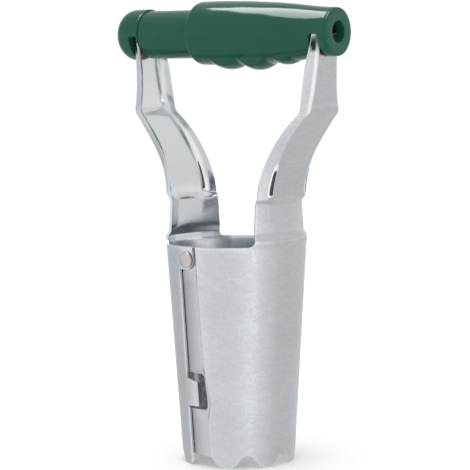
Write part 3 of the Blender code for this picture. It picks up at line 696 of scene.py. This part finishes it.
def open_window(bm, table, kinds, heights, tube):
    """Cut the window out of the lapped strip and round its corners."""
    low = tube.tab_base - tube.window_below
    high = tube.tab_base + tube.tab_height + tube.window_above
    gone = []
    for column, kind in enumerate(kinds[:-1]):
        for row, (lower, upper) in enumerate(zip(heights, heights[1:])):
            if kind == "window" and low < (lower + upper) / 2 < high:
                across = table[column + 1, row + 1].link_faces
                gone += [face for face in table[column, row].link_faces if face in across]
    bmesh.ops.delete(bm, geom=gone, context="FACES")
    side = kinds.index("lap", kinds.index("window"))
    inward = (table[side - 1, 0].co - table[side, 0].co).normalized()
    for row, height in enumerate(heights):
        if min(abs(height - low), abs(height - high)) < SAME_HEIGHT:
            shift = inward * tube.window_corner
            shift.z = tube.window_corner * (1 if height < tube.tab_base else -1)
            table[side, row].co += shift * 0.6


def add_flap(bm, run, folds, tube, trim):
    """Extrude an edge's run of vertices into the ear or the hooked tab."""
    heights = [vertex.co.z for vertex in run]
    for reach, depth in folds:
        places = []
        for index, height in enumerate(heights):
            radius = wall_radius(tube, height)
            cut = trim(index / (len(heights) - 1), reach)
            places.append(polar(radius - depth, tube.edge + reach / radius, height + cut))
        run = extrude_row(bm, run, places)


def tab_folds(tube):
    """Reach and depth of each step round the tab's fold."""
    bend = tube.sheet
    folds = [(part, 0) for part in steps(0, tube.tab_reach - bend, 3)[1:]]
    for part in range(5):
        turn = pi / 2 * part / 4
        folds.append((tube.tab_reach - bend * (1 - sin(turn)), bend * (1 - cos(turn))))
    return folds + [(tube.tab_reach, part) for part in (tube.tab_hook * 0.6, tube.tab_hook)]


def mark_edges(bm):
    """Write how near each vertex lies to the sheet's cut edges."""
    layer = bm.verts.layers.float.new("edge_wear")
    border = {vertex for edge in bm.edges if edge.is_boundary for vertex in edge.verts}
    for vertex in border:
        vertex[layer] = 1.0
    for vertex in border:
        for edge in vertex.link_edges:
            near = edge.other_vert(vertex)
            if near not in border:
                near[layer] = max(near[layer], NEAR_EDGE_WEAR)


def crease_distance(arm, point):
    """How far a point lies from the arm's bend, negative on the web and positive on the flange."""
    along = abs(point.y) - crease_place(arm, point.z)
    inward = web_reach(arm, point.z) - point.x
    away = max(sqrt(along ** 2 + inward ** 2) - arm.bend * CREASE_INSET_SHARE, 0.0)
    return -away if -along > inward else away


def mark_arm(bm, arm):
    """Write where the arm has painted shade in its darts and flanges, painted highlights along its
    creases and round its darts, and a painted dark reflection of the handle at its end.
    """
    names = ("dart_shade", "crease_painted_highlight", "flange_painted_shade", "slot_painted_reflection")
    darts, crease_highlight_mask, dull, end_reflection_mask = [bm.verts.layers.float.new(name) for name in names]
    for vertex in bm.verts:
        above = vertex.co.z - arm.web_base
        if above < 0:
            continue
        away = crease_distance(arm, vertex.co)
        rise = above / arm.dart_length
        if rise < 1:
            ends = smooth(above / arm.dart_width * 1.6 - 1) * smooth((1 - rise) * 2.5)
            width = arm.dart_width * mix(DART_SHADE_SHARES[0], DART_SHADE_SHARES[1], rise)
            # Painted shade at the bottom of the dart.
            vertex[darts] = ends * bell(away, width)
        upper = smooth((vertex.co.z - arm.kink) / arm.kink_rounding + 1)
        ends = mix(LOWER_CREASE_SHARE, 1.0, upper) * smooth(rise * 6 - 0.2)
        # Painted highlight along the crease.
        vertex[crease_highlight_mask] = ends * bell(away, arm.bend * 1.3)
        # Painted shade inside the flange.
        vertex[dull] = smooth(away / arm.bend - 1) * mix(0.3, 1, bell(rise - 0.28, 0.28))
        # Painted dark reflection of the handle on the arm's end.
        past = vertex.co.z - arm.top + arm.rub - max(away, 0.0) * 0.5
        vertex[end_reflection_mask] = smooth(past * 2 / arm.bend) * smooth(away / arm.bend + 0.3)


def steel_sheet(tube, arm):
    """Outer face of one half as an open sheet."""
    columns = wall_columns(tube, arm)
    kinds = [kind for _, kind in columns]
    heights = wall_heights(tube)
    bm, table = sheet_grid(columns, heights, len(seam_columns(tube)) - 1)

    def edge_run(low, high):
        low, high = low - SAME_HEIGHT, high + SAME_HEIGHT
        rows = [row for row, height in enumerate(heights) if low <= height <= high]
        return [table[len(columns) - 1, row] for row in rows]

    def tab_trim(part, reach):
        slope = tube.window_above * TAB_CORNER_SHARE * min(reach / tube.tab_reach, 1.0)
        return -slope * max(part - TAB_CORNER_START, 0.0) / (1 - TAB_CORNER_START)

    def ear_trim(part, reach):
        beyond = max(reach / tube.ear_reach - EAR_CORNER_START, 0.0) / (1 - EAR_CORNER_START)
        rounding = 1 - sqrt(1 - min(beyond, 1.0) ** 2)
        return tube.ear_height * EAR_CORNER_SHARE * rounding * (1 - part)

    tab = edge_run(tube.tab_base, tube.tab_base + tube.tab_height)
    ear = edge_run(tube.rim_height - tube.ear_height, tube.rim_height)
    first = kinds.index("arm")
    run = [table[first + index, len(heights) - 1] for index in range(kinds.count("arm") + 1)]
    open_window(bm, table, kinds, heights, tube)
    add_flap(bm, tab, tab_folds(tube), tube, tab_trim)
    add_flap(bm, ear, [(tube.ear_reach * part / 8, 0) for part in range(1, 9)], tube, ear_trim)
    for height in arm_heights(tube, arm):
        places = [arm_point(tube, arm, height, part) for part in arm_shares()]
        run = extrude_row(bm, run, places)
    mark_edges(bm)
    mark_arm(bm, arm)
    bmesh.ops.recalc_face_normals(bm, faces=bm.faces)
    return bm


def face_outward(bm):
    """Turn an open sheet's faces away from the tube's middle."""
    lowest = min(bm.faces, key=lambda face: face.calc_center_median().z)
    centre = lowest.calc_center_median()
    if lowest.normal.dot(Vector((centre.x, centre.y, 0))) < 0:
        bmesh.ops.reverse_faces(bm, faces=bm.faces)


# Pieces

def add_object(name, data):
    """Object linked to the scene."""
    item = bpy.data.objects.new(name, data)
    bpy.context.scene.collection.objects.link(item)
    return item


def add_mesh(name, bm):
    """Object made of a bmesh, which is freed."""
    mesh = bpy.data.meshes.new(name)
    bm.to_mesh(mesh)
    bm.free()
    return add_object(name, mesh)


def add_piece(name, bm, body, material, node, sharp=40):
    """Make an object of a bmesh that rides on a body and stands for a CAD node."""
    piece = add_mesh(name, bm)
    piece.data.shade_smooth()
    piece.data.set_sharp_from_angle(angle=radians(sharp))
    piece.data.materials.append(material)
    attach(piece, body)
    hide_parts(node)
    return piece


def thicken(piece, tube):
    """Give a sheet its thickness, inward, and break its sharp edges."""
    wall = piece.modifiers.new("thickness", "SOLIDIFY")
    wall.thickness = tube.sheet
    wall.offset = -1
    wall.use_even_offset = True
    edge = piece.modifiers.new("edges", "BEVEL")
    edge.width = tube.sheet * EDGE_BREAK_SHARE
    edge.segments = 3
    edge.limit_method = "ANGLE"
    edge.angle_limit = radians(60)
    edge.harden_normals = False


def spun(profile, sides, closed=False):
    """Turn a profile about X, its points given as place and radius."""
    bm = bmesh.new()
    points = [bm.verts.new((along, 0, radius)) for along, radius in profile]
    after = points[1:] + (points[:1] if closed else [])
    for pair in zip(points, after):
        bm.edges.new(pair)
    geom = bm.verts[:] + bm.edges[:]
    turned = dict(axis=(1, 0, 0), cent=(0, 0, 0), angle=2 * pi, steps=sides, use_merge=True)
    bmesh.ops.spin(bm, geom=geom, **turned)
    bmesh.ops.remove_doubles(bm, verts=bm.verts, dist=SAME_PLACE)
    bmesh.ops.recalc_face_normals(bm, faces=bm.faces)
    return bm


def rounded(corner, before, after, radius):
    """Points that round a profile's corner between its neighbours."""
    corner, before, after = Vector(corner), Vector(before), Vector(after)
    start = corner + (before - corner).normalized() * radius
    end = corner + (after - corner).normalized() * radius
    points = []
    for part in (0, 0.25, 0.5, 0.75, 1):
        points.append(tuple(start.lerp(corner, part).lerp(corner.lerp(end, part), part)))
    return points


def axis_height(handle):
    """Height of the handle's axis."""
    return TUBE_BOX[1].z - handle.head_radius


def slot_cutter(handle, side):
    """Wedge with rounded upper corners that opens the handle from below."""
    depth = handle.grip_radius * 1.4
    low = axis_height(handle) - depth
    mouth = axis_height(handle) - handle.head_radius
    slant = (handle.slot_mouth - handle.slot_top) / (handle.slot_height - mouth)
    wall = handle.slot_wall
    low_outer = (wall, low)
    low_inner = (wall - handle.slot_top - slant * (handle.slot_height - low), low)
    top_outer = (wall, handle.slot_height)
    top_inner = (wall - handle.slot_top, handle.slot_height)
    corner = handle.slot_top * 0.22
    outline = [low_outer, *rounded(top_outer, low_outer, top_inner, corner)]
    outline += [*rounded(top_inner, top_outer, low_inner, corner), low_inner]
    bm = bmesh.new()
    face = bm.faces.new([bm.verts.new((AXIS_X + side * x, -depth, z)) for x, z in outline])
    swept = bmesh.ops.extrude_face_region(bm, geom=[face])
    moved = [item for item in swept["geom"] if isinstance(item, bmesh.types.BMVert)]
    bmesh.ops.translate(bm, verts=moved, vec=(0, depth * 2, 0))
    bmesh.ops.recalc_face_normals(bm, faces=bm.faces)
    return add_mesh("slot_cutter", bm)


def cut_slot(piece, handle, side):
    """Cut an arm's slot into a handle piece and drop the cutter."""
    cutter = slot_cutter(handle, side)
    modifier = piece.modifiers.new("slot", "BOOLEAN")
    modifier.operation = "DIFFERENCE"
    modifier.solver = "EXACT"
    modifier.object = cutter
    bpy.context.view_layer.update()
    graph = bpy.context.evaluated_depsgraph_get()
    cut = bpy.data.meshes.new_from_object(piece.evaluated_get(graph), depsgraph=graph)
    piece.modifiers.clear()
    piece.data = cut
    bpy.data.objects.remove(cutter)
    cut.shade_smooth()
    cut.set_sharp_from_angle(angle=radians(30))


def head_profile(handle):
    """Profile of the domed head, the sliding tube and the spring's bore."""
    points = []
    dome_start = handle.head_start - handle.dome_depth
    for step in range(17):
        turn = pi / 2 * (1 - step / 16)
        depth = handle.dome_depth * sin(turn) ** (2 / handle.dome_power)
        radius = handle.head_radius * cos(turn) ** (2 / handle.dome_power)
        points.append((-dome_start - depth, radius if step else 0.0))
    rim = (-handle.head_rim, handle.head_radius)
    root = (-handle.head_rim, handle.tube_radius)
    end = (handle.tube_end, handle.tube_radius)
    bore = (handle.tube_end, handle.bore)
    points += rounded(rim, points[-1], root, handle.rim_fillet)
    points += [(along, handle.tube_radius) for along in steps(root[0], end[0], 30)]
    points += rounded(end, root, bore, handle.rim_fillet)
    return points + [bore, (-handle.slot_wall, handle.bore), (-handle.slot_wall, 0)]


def grip_radius(handle, table, along):
    """Radius of the grip from one of its tables of shares."""
    part = (along - handle.grip_start) / (handle.grip_end - handle.grip_start)
    missing = 1 - min(max(along - handle.grip_start, 0.0) / handle.grip_edge, 1.0)
    drop = handle.grip_edge * (1 - sqrt(1 - missing ** 2))
    groove = handle.bead_groove * bell(along - handle.grip_end + handle.bead, handle.bead_groove)
    return handle.grip_radius * read_softly(table, part)[0] - drop - groove


def ridge_rise(handle, along):
    """How far the finger ridges stand out from the underside."""
    rise = 0.0
    for index, (crown, width) in enumerate(RIDGE_SHARES):
        middle = handle.first_ridge + handle.ridge_pitch * index
        part = (along - middle) / (width * handle.ridge_pitch / 2)
        rise += crown * handle.grip_radius * max(1 - part ** 2, 0.0)
    return rise


def grip_profile(handle):
    """Closed profile of the grip's wall, without its finger ridges."""
    start, end, hole = handle.grip_start, handle.grip_end, handle.hole
    body_end = end - handle.grip_end_fillet
    bead_start = end - handle.bead * 2
    places = [start + handle.grip_edge * (1 - cos(pi / 2 * step / 8)) for step in range(8)]
    places += steps(start + handle.grip_edge, bead_start, 110) + steps(bead_start, body_end, 14)
    points = [(along, grip_radius(handle, GRIP_OUTLINE_SHARES, along)) for along in places]
    corner = (end, grip_radius(handle, GRIP_OUTLINE_SHARES, end))
    wide = handle.tube_radius + handle.grip_gap
    bore_end = start + handle.grip_bore_depth
    inner = (handle.slot_wall, hole)
    points += rounded(corner, (body_end, corner[1]), (end, hole), handle.grip_end_fillet)
    points += rounded((end, hole), corner, inner, handle.grip_end_fillet / 3)
    points += [inner, (handle.slot_wall, handle.bore), (bore_end, handle.bore)]
    return points + [(bore_end, wide), (start, wide)]


def press_fingers(bm, handle):
    """Raise the finger ridges on the grip's underside."""
    flank, crown = cos(handle.ridge_flank), cos(handle.ridge_crown)
    for vertex in bm.verts:
        along, radius = vertex.co.x, vertex.co.yz.length
        top = grip_radius(handle, GRIP_OUTLINE_SHARES, along)
        if radius < top - handle.grip_gap or along > handle.grip_end - handle.bead * 2:
            continue
        down = max(-vertex.co.z / radius, 0.0)
        rise = ridge_rise(handle, along) * smooth((down - flank) / (crown - flank))
        wanted = mix(top, grip_radius(handle, GRIP_UNDERSIDE_SHARES, along), down) + rise
        vertex.co.yz = vertex.co.yz * (wanted / top)


def rivet_profile(rivet, tube):
    """Profile of a rivet whose head seats at 0 and points to +X."""
    seat = tube.lap_gap
    tail = -2 * tube.sheet - 2 * tube.lap_gap - tube.sheet * 0.3
    low = tail - rivet.tail_height
    profile = [(low, 0)]
    profile += rounded((low, rivet.tail * 0.75), (low, 0), (tail, rivet.tail), rivet.tail * 0.2)
    profile += [(tail - rivet.tail_height * 0.35, rivet.tail), (tail, rivet.tail * 0.96)]
    profile += [(tail, rivet.shank), (seat, rivet.shank), (seat, rivet.head * 0.94)]
    profile.append((seat + rivet.head_side * 0.2, rivet.head))
    for turn in steps(0, pi / 2, 12):
        rise = mix(rivet.head_side, rivet.head_height, sin(turn))
        profile.append((seat + rise, rivet.head * cos(turn) ** 0.62))
    return profile + [(seat + rivet.head_height, 0)]


def spring_coil(handle):
    """Coil spring as one tube round the handle's axis."""
    low, high = SPRING_BOX
    radius = (high.z - low.z) / 2 - handle.wire
    centre = (high.z + low.z) / 2
    count = handle.turns * COIL_STEPS
    curve = bpy.data.curves.new("spring_path", "CURVE")
    curve.dimensions = "3D"
    curve.bevel_depth = handle.wire
    curve.bevel_resolution = 3
    curve.use_fill_caps = True
    spline = curve.splines.new("POLY")
    spline.points.add(count)
    for step, point in enumerate(spline.points):
        turn = 2 * pi * step / COIL_STEPS
        along = mix(low.x, high.x, step / count)
        point.co = (along, radius * sin(turn), centre - radius * cos(turn), 1)
    path = add_object("spring_path", curve)
    graph = bpy.context.evaluated_depsgraph_get()
    bm = bmesh.new()
    bm.from_mesh(path.evaluated_get(graph).to_mesh())
    bpy.data.objects.remove(path)
    return bm


# Shader maths

def opaque(tint):
    """Colour with an alpha of one."""
    return (*tint, 1.0)


class Value:
    """Shader socket that Python's own arithmetic turns into Math nodes."""

    def __init__(self, surface, socket):
        self.surface = surface
        self.socket = socket

    def maths(self, operation, first, second):
        """Math node with two inputs."""
        return self.surface.node("Math", {0: first, 1: second}, operation=operation)

    def __add__(self, other):
        return self.maths("ADD", self, other)

    def __sub__(self, other):
        return self.maths("SUBTRACT", self, other)

    def __rsub__(self, other):
        return self.maths("SUBTRACT", other, self)

    def __mul__(self, other):
        return self.maths("MULTIPLY", self, other)

    __radd__ = __add__
    __rmul__ = __mul__


class Network:
    """Node tree that expressions on values add their nodes to."""

    def __init__(self, tree):
        self.tree = tree

    def node(self, kind, values, output=0, **settings):
        """Add a node, set it, feed its sockets and return one output."""
        node = self.tree.nodes.new("ShaderNode" + kind)
        for name, value in settings.items():
            setattr(node, name, value)
        for name, value in values.items():
            self.feed(node.inputs[name], value)
        return Value(self, node.outputs[output])

    def feed(self, socket, value):
        """Link a value to a socket, or set it there."""
        if isinstance(value, Value):
            self.tree.links.new(value.socket, socket)
        else:
            socket.default_value = value

    def spread(self, value, low, high):
        """Stretch a value so that low becomes 0 and high becomes 1."""
        sockets = {"Value": value, "From Min": low, "From Max": high}
        return self.node("MapRange", sockets, clamp=True)

    def blend(self, first, second, factor):
        """Mix two colours."""
        return self.node("Mix", {0: factor, 6: first, 7: second}, 2, data_type="RGBA")

    def mark(self, name):
        """Value that the mesh carries under a name."""
        return self.node("Attribute", {}, "Fac", attribute_name=name)

    def vector(self, operation, first, second, output="Vector"):
        """Vector Math node with two inputs."""
        return self.node("VectorMath", {0: first, 1: second}, output, operation=operation)

    def dot(self, first, second):
        """Dot product of two vectors."""
        return self.vector("DOT_PRODUCT", first, second, "Value")


class Surface(Network):
    """Material made of nodes round one Principled shader."""

    def __init__(self, name, **fixed):
        self.material = bpy.data.materials.new(name)
        self.material.use_nodes = True
        super().__init__(self.material.node_tree)
        self.shader = self.tree.nodes["Principled BSDF"]
        for socket, value in fixed.items():
            self.shader.inputs[socket.replace("_", " ")].default_value = value
        self.place = self.node("TexCoord", {}, "Object")

    def noise(self, scale, detail=2.0, stretch=(1, 1, 1)):
        """Noise on the piece's own coordinates, from 0 to 1."""
        place = self.node("Mapping", {"Vector": self.place, "Scale": stretch})
        return self.node("TexNoise", {"Vector": place, "Scale": scale, "Detail": detail})

    def from_axis(self):
        """Level vector from the tube's axis to the point."""
        away = self.vector("SUBTRACT", self.place, (AXIS_X, 0, 0))
        return self.vector("MULTIPLY", away, (1, 1, 0))

    def inward(self):
        """1 on faces that look toward the tube's middle, 0 on the others."""
        facing = self.node("TexCoord", {}, "Normal")
        return self.spread(self.dot(facing, self.from_axis()), 0.0, -0.01)

    def facing_side(self, turn, full, edge):
        """1 on the side of the tube's inside that lies at an angle, 0 past the edge angle."""
        turn, full, edge = radians(turn), radians(full), radians(edge)
        toward = self.dot(self.from_axis(), (cos(turn), sin(turn), 0))
        return self.spread(toward, INSIDE_RADIUS * cos(edge), INSIDE_RADIUS * cos(full))

    def cover(self, tint, layers):
        """Lay colours over a tint one by one, each with its mask."""
        for layer, mask in layers:
            tint = self.blend(tint, opaque(layer), mask)
        return tint

    def finish(self, base, roughness, height, strength, distance):
        """Feed the shader and return the material."""
        self.feed(self.shader.inputs["Base Color"], base)
        self.feed(self.shader.inputs["Roughness"], roughness)
        bump = {"Strength": strength, "Distance": distance, "Height": height}
        self.feed(self.shader.inputs["Normal"], self.node("Bump", bump))
        return self.material


def zinc_steel(finishes, rim):
    """Zinc-plated sheet: soft mottling, rolled grain and worn edges, shinier inside, with painted
    light, shade, highlights and reflections laid over it.
    """
    surface = Surface("zinc_plated_sheet")
    inside = surface.inward()
    outside = 1 - inside
    clouds = surface.spread(surface.noise(40, detail=3), 0.3, 0.7)
    grain = surface.noise(900, detail=4)
    rolled = surface.noise(620, detail=3, stretch=(0.3, 0.3, 1))
    blotches = surface.spread(surface.noise(210, detail=3), 0.35, 0.7)
    marks = ("edge_wear", "dart_shade", "crease_painted_highlight", "flange_painted_shade", "slot_painted_reflection", "strip_painted_shade")
    wear, darts, crease_highlight_mask, flange, end_reflection_mask, strip = [surface.mark(name) for name in marks]
    dull = surface.spread(clouds * 0.15 + grain * 0.55 + rolled * 0.30, 0.38, 0.62)
    rise = surface.dot(surface.place, (0, 0, 1)) - rim

    def band(start, low, high, end):
        """Mask inside the sheet, full between low and high over the rim."""
        return inside * surface.spread(rise, start, low) * surface.spread(rise, end, high)

    mouth = band(-0.024, -0.012, -0.002, 0.001)
    # Side of the tube's inside that gets the painted shade under the rim.
    mouth_shade_side = surface.facing_side(99, full=26, edge=44) * (0.7 + clouds * 0.3)
    flange = flange * inside
    # Painted highlight along the arms' creases.
    crease_highlight_mask = surface.spread(crease_highlight_mask, 0.80 - inside * 0.50, 1 - inside * 0.25)
    tint = surface.cover(opaque(finishes.zinc), (
        (finishes.zinc_dull_and_shade, dull * 0.7),
        # Painted light: a lighter copy of the plating on inner faces.
        (finishes.zinc_inside_painted_light, inside * 0.8),
        # Painted highlight inside the tube just under the rim.
        (finishes.mouth_painted_highlight, mouth * surface.facing_side(151, full=10, edge=26)),
        # Painted shade inside the tube just under the rim.
        (finishes.mouth_painted_shade, mouth * mouth_shade_side * 0.9),
        # Painted shade inside the arms' roots just over the rim.
        (finishes.ledge, band(0.0025, 0.004, 0.0075, 0.010) * 0.8),
        (finishes.cut_edge, wear * 0.3),
        # Painted shade on the outside of the strip beside the seam.
        (finishes.strip, strip * outside * 0.8),
        # Painted shade inside the flanges.
        (finishes.zinc_dull_and_shade, surface.spread(flange, 0.0, 0.3) * 0.7),
        # Painted dark reflections inside the flanges.
        (finishes.flange_painted_dark_reflection, surface.spread(flange + blotches * 0.35, 0.8, 1.1)),
        # Painted highlight along the arms' creases.
        (finishes.crease, crease_highlight_mask * (0.5 + inside * 0.5)),
        # Painted highlight round each dart.
        (finishes.dart_painted_rim_highlight, surface.spread(darts, 0.08, 0.30) * 0.75),
        # Painted shade at the bottom of each dart.
        (finishes.dart, surface.spread(darts + inside * 0.25, 0.6, 0.85)),
        # Painted dark reflection of the handle on the arms' ends.
        (finishes.arm_end_painted_reflection, end_reflection_mask * outside * (1 - wear)),
    ))
    # Less metallic inside and along the painted crease highlight.
    surface.feed(surface.shader.inputs["Metallic"], 1 - inside * 0.18 - crease_highlight_mask * 0.7)
    roughness = 0.25 + dull * 0.07 + blotches * 0.04 + wear * 0.05 - inside * 0.14
    bump = grain * 0.6 + rolled * 0.4
    return surface.finish(tint, roughness, bump, strength=0.18, distance=0.0001)


def rivet_steel(finishes):
    """Bright rivet with faint turning marks."""
    surface = Surface("rivet_bright_steel", Metallic=1.0)
    marks = surface.noise(700, detail=3)
    dull = surface.spread(surface.noise(180), 0.4, 0.8) * 0.6
    tint = surface.cover(opaque(finishes.rivet), [(finishes.rivet_dull, dull)])
    return surface.finish(tint, 0.22 + marks * 0.12, marks, strength=0.2, distance=0.0001)


def spring_steel(finishes):
    """Dark drawn wire."""
    surface = Surface("spring_drawn_wire", Metallic=1.0)
    marks = surface.noise(900, stretch=(0.1, 1, 1))
    tint = surface.cover(opaque(finishes.spring), [(finishes.spring_dark, marks)])
    return surface.finish(tint, 0.30 + marks * 0.15, marks, strength=0.2, distance=0.00005)


def green_plastic(finishes, name):
    """Glossy moulded plastic with a faint orange peel and hand wear."""
    surface = Surface(name, Metallic=0.0, Specular_IOR_Level=0.20)
    clouds = surface.noise(40, detail=3)
    peel = surface.noise(600)
    scratches = surface.spread(surface.noise(260, detail=5, stretch=(0.15, 1, 1)), 0.62, 0.72)
    worn = surface.spread(clouds, 0.35, 0.7)
    tint = surface.cover(opaque(finishes.plastic), [(finishes.plastic_worn, worn)])
    roughness = 0.08 + clouds * 0.06 + scratches * 0.10
    bump = peel * 0.7 + scratches * 0.3
    return surface.finish(tint, roughness, bump, strength=0.08, distance=0.0001)


# Operators

class PLANTER_OT_steel_halves(bpy.types.Operator):
    """Model the two stamped steel halves"""

    bl_idname = "planter.steel_halves"
    bl_label = "Steel halves"

    def execute(self, context):
        scene = context.scene
        tube = scene.planter_tube
        material = zinc_steel(scene.planter_finishes, tube.rim_height)
        for side, turn in (("right", Matrix.Identity(4)), ("left", Matrix.Rotation(pi, 4, "Z"))):
            bm = steel_sheet(tube, scene.planter_arm)
            face_outward(bm)
            bm.transform(Matrix.Translation((AXIS_X, 0, 0)) @ turn)
            piece = add_piece(
                side + "_stamping", bm, side + "_half",
                material, side + "_shell", sharp=60,
            )
            thicken(piece, tube)
        return {"FINISHED"}


class PLANTER_OT_rivets(bpy.types.Operator):
    """Model the rivets that the halves turn on"""

    bl_idname = "planter.rivets"
    bl_label = "Rivets"

    def execute(self, context):
        scene = context.scene
        tube = scene.planter_tube
        material = rivet_steel(scene.planter_finishes)
        radius = wall_radius(tube, HINGE_PLACE.z)
        seat = radius * cos(tube.ear_reach / radius / 2)
        taper = atan((tube.rim_radius - tube.mouth_radius) / tube.rim_height)
        seated = Matrix.Translation((seat, 0, 0)) @ Matrix.Rotation(taper, 4, "Y")
        for node, side in (("front_rivet", -1), ("rear_rivet", 1)):
            bm = spun(rivet_profile(scene.planter_rivet, tube), RIVET_SIDES)
            turn = Vector((1, 0, 0)).rotation_difference(HINGE_AXIS * side).to_matrix().to_4x4()
            bm.transform(Matrix.Translation(HINGE_PLACE) @ turn @ seated)
            add_piece(node + "_domed", bm, "right_half", material, node)
        return {"FINISHED"}


class PLANTER_OT_handle(bpy.types.Operator):
    """Model the domed head with its tube, and the grip that it slides into"""

    bl_idname = "planter.handle"
    bl_label = "Handle"

    def execute(self, context):
        finishes, handle = context.scene.planter_finishes, context.scene.planter_handle
        place = Matrix.Translation((AXIS_X, 0, axis_height(handle)))
        head = spun(head_profile(handle), HEAD_SIDES)
        grip = spun(grip_profile(handle), GRIP_SIDES, closed=True)
        press_fingers(grip, handle)
        for name, bm, body, look, node, side in (
            ("domed_head", head, "plunger", "head", "handle_tube", -1),
            ("finger_grip", grip, "grip", "grip", "hand_grip", 1),
        ):
            bm.transform(place)
            material = green_plastic(finishes, f"green_{look}_plastic")
            piece = add_piece(name, bm, body, material, node, sharp=30)
            cut_slot(piece, handle, side)
        return {"FINISHED"}


class PLANTER_OT_spring(bpy.types.Operator):
    """Model the return spring inside the handle"""

    bl_idname = "planter.spring"
    bl_label = "Return spring"

    def execute(self, context):
        handle = context.scene.planter_handle
        material = spring_steel(context.scene.planter_finishes)
        piece = add_piece(
            "return_spring_coil", spring_coil(handle), "grip",
            material, "return_spring", sharp=180,
        )
        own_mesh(piece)
        return {"FINISHED"}


def add_studio_world():
    """Pale room, bright in front of the planter and duller at its sides."""
    world = bpy.data.worlds.new("studio")
    world.use_nodes = True
    room = Network(world.node_tree)
    direction = room.node("TexCoord", {}, "Generated")
    up = room.dot(direction, (0, 0, 1))
    skyline = room.spread(up, -0.075, -0.02) * room.spread(up, 0.16, 0.06)
    level = 0.86 + skyline * 0.18
    for turn, rise, full, edge, gain in ROOM_PATCHES:
        turn, rise, full, edge = [radians(value) for value in (turn, rise, full, edge)]
        middle = (cos(turn) * cos(rise), sin(turn) * cos(rise), sin(rise))
        level += room.spread(room.dot(direction, middle), cos(edge), cos(full)) * gain
    background = world.node_tree.nodes["Background"]
    room.feed(background.inputs["Strength"], level)
    background.inputs["Color"].default_value = (0.97, 0.99, 1, 1)
    bpy.context.scene.world = world


def add_overhead_light():
    """Broad, even light from straight above."""
    data = bpy.data.lights.new("overhead", "SUN")
    data.angle = radians(40)
    data.energy = 0.7
    add_object("overhead", data).location = (0, 0, 1)


def add_light(name, place, target, size, power, spin=0.0):
    """Soft box that faces a target, turned about its own axis."""
    data = bpy.data.lights.new(name, "AREA")
    data.shape = "RECTANGLE"
    data.size, data.size_y = size
    data.energy = power
    light = add_object(name, data)
    aim = (Vector(target) - Vector(place)).to_track_quat("-Z", "Y").to_matrix().to_4x4()
    light.matrix_world = Matrix.Translation(place) @ aim @ Matrix.Rotation(spin, 4, "Z")
    return light


def add_camera():
    """Camera at the photograph's viewing angle."""
    turn, rise, roll = radians(CAMERA_TURN), radians(CAMERA_RISE), radians(CAMERA_ROLL)
    target = Vector((AXIS_X, 0, 0)) + Vector(CAMERA_TARGET)
    back = Vector((sin(turn) * cos(rise), -cos(turn) * cos(rise), sin(rise)))
    right = (-back).cross(Vector((0, 0, 1))).normalized()
    up = right.cross(-back)
    rolled = (right * cos(roll) + up * sin(roll), up * cos(roll) - right * sin(roll), back)
    matrix = Matrix(rolled).transposed().to_4x4()
    matrix.translation = target + back * CAMERA_DISTANCE
    data = bpy.data.cameras.new("photo_camera")
    data.sensor_fit = "HORIZONTAL"
    data.sensor_width = 36.0
    data.lens = CAMERA_LENS
    data.dof.use_dof = False
    camera = add_object("photo_camera", data)
    camera.matrix_world = matrix
    bpy.context.scene.camera = camera


def add_floor(finishes):
    """Pale floor that the shiny steel doesn't mirror."""
    bm = bmesh.new()
    bmesh.ops.create_grid(bm, x_segments=1, y_segments=1, size=6)
    floor = add_mesh("floor", bm)
    surface = Surface("pale_floor")
    tint = surface.cover(opaque(finishes.floor), [(finishes.floor_shade, surface.noise(3))])
    material = surface.finish(tint, 0.9, surface.noise(40), strength=0.02, distance=0.0001)
    floor.data.materials.append(material)
    floor.visible_glossy = False


class PLANTER_OT_stage(bpy.types.Operator):
    """Set up the pale floor, the soft lights and the camera"""

    bl_idname = "planter.stage"
    bl_label = "Stage"

    def execute(self, context):
        context.scene.view_settings.view_transform = "Standard"
        add_floor(context.scene.planter_finishes)
        add_studio_world()
        add_overhead_light()
        side = (1.042, -0.486, 0.25)
        add_light("side_strip", side, (AXIS_X, 0, 0.08), size=(0.13, 1.0), power=0.3)
        above, below = (-0.27, -0.13, 0.95), (-0.27, -0.13, 0.2)
        top = add_light("top_box", above, below, size=(0.30, 0.67), power=9.5, spin=radians(22))
        top.visible_diffuse = False
        add_camera()
        return {"FINISHED"}


class PLANTER_PT_panel(bpy.types.Panel):
    """Sizes, colours and steps of the planter"""

    bl_idname = "PLANTER_PT_panel"
    bl_label = "Bulb planter"
    bl_space_type = "VIEW_3D"
    bl_region_type = "UI"
    bl_category = "Planter"

    def draw(self, context):
        layout = self.layout
        for operator in OPERATORS:
            layout.operator(operator.bl_idname)
        for name, group in GROUPS.items():
            box = layout.box()
            for prop in group.__annotations__:
                box.prop(getattr(context.scene, name), prop)


GROUPS = {
    "planter_tube": TubeSizes,
    "planter_arm": ArmSizes,
    "planter_handle": HandleSizes,
    "planter_rivet": RivetSizes,
    "planter_finishes": Finishes,
}
OPERATORS = (
    PLANTER_OT_stage,
    PLANTER_OT_steel_halves,
    PLANTER_OT_rivets,
    PLANTER_OT_handle,
    PLANTER_OT_spring,
)
CLASSES = (*GROUPS.values(), *OPERATORS, PLANTER_PT_panel)


def register():
    """Register the classes and hang the sizes on the scene."""
    for item in CLASSES:
        bpy.utils.register_class(item)
    for name, group in GROUPS.items():
        setattr(bpy.types.Scene, name, PointerProperty(type=group))


def unregister():
    """Take the sizes and the classes away again."""
    for name in GROUPS:
        delattr(bpy.types.Scene, name)
    for item in reversed(CLASSES):
        bpy.utils.unregister_class(item)


def main():
    """Build the planter and its stage."""
    register()
    for operator in OPERATORS:
        name = operator.bl_idname.split(".")[1]
        getattr(bpy.ops.planter, name)()
    bpy.context.view_layer.update()


if __name__ == "__main__":
    main()
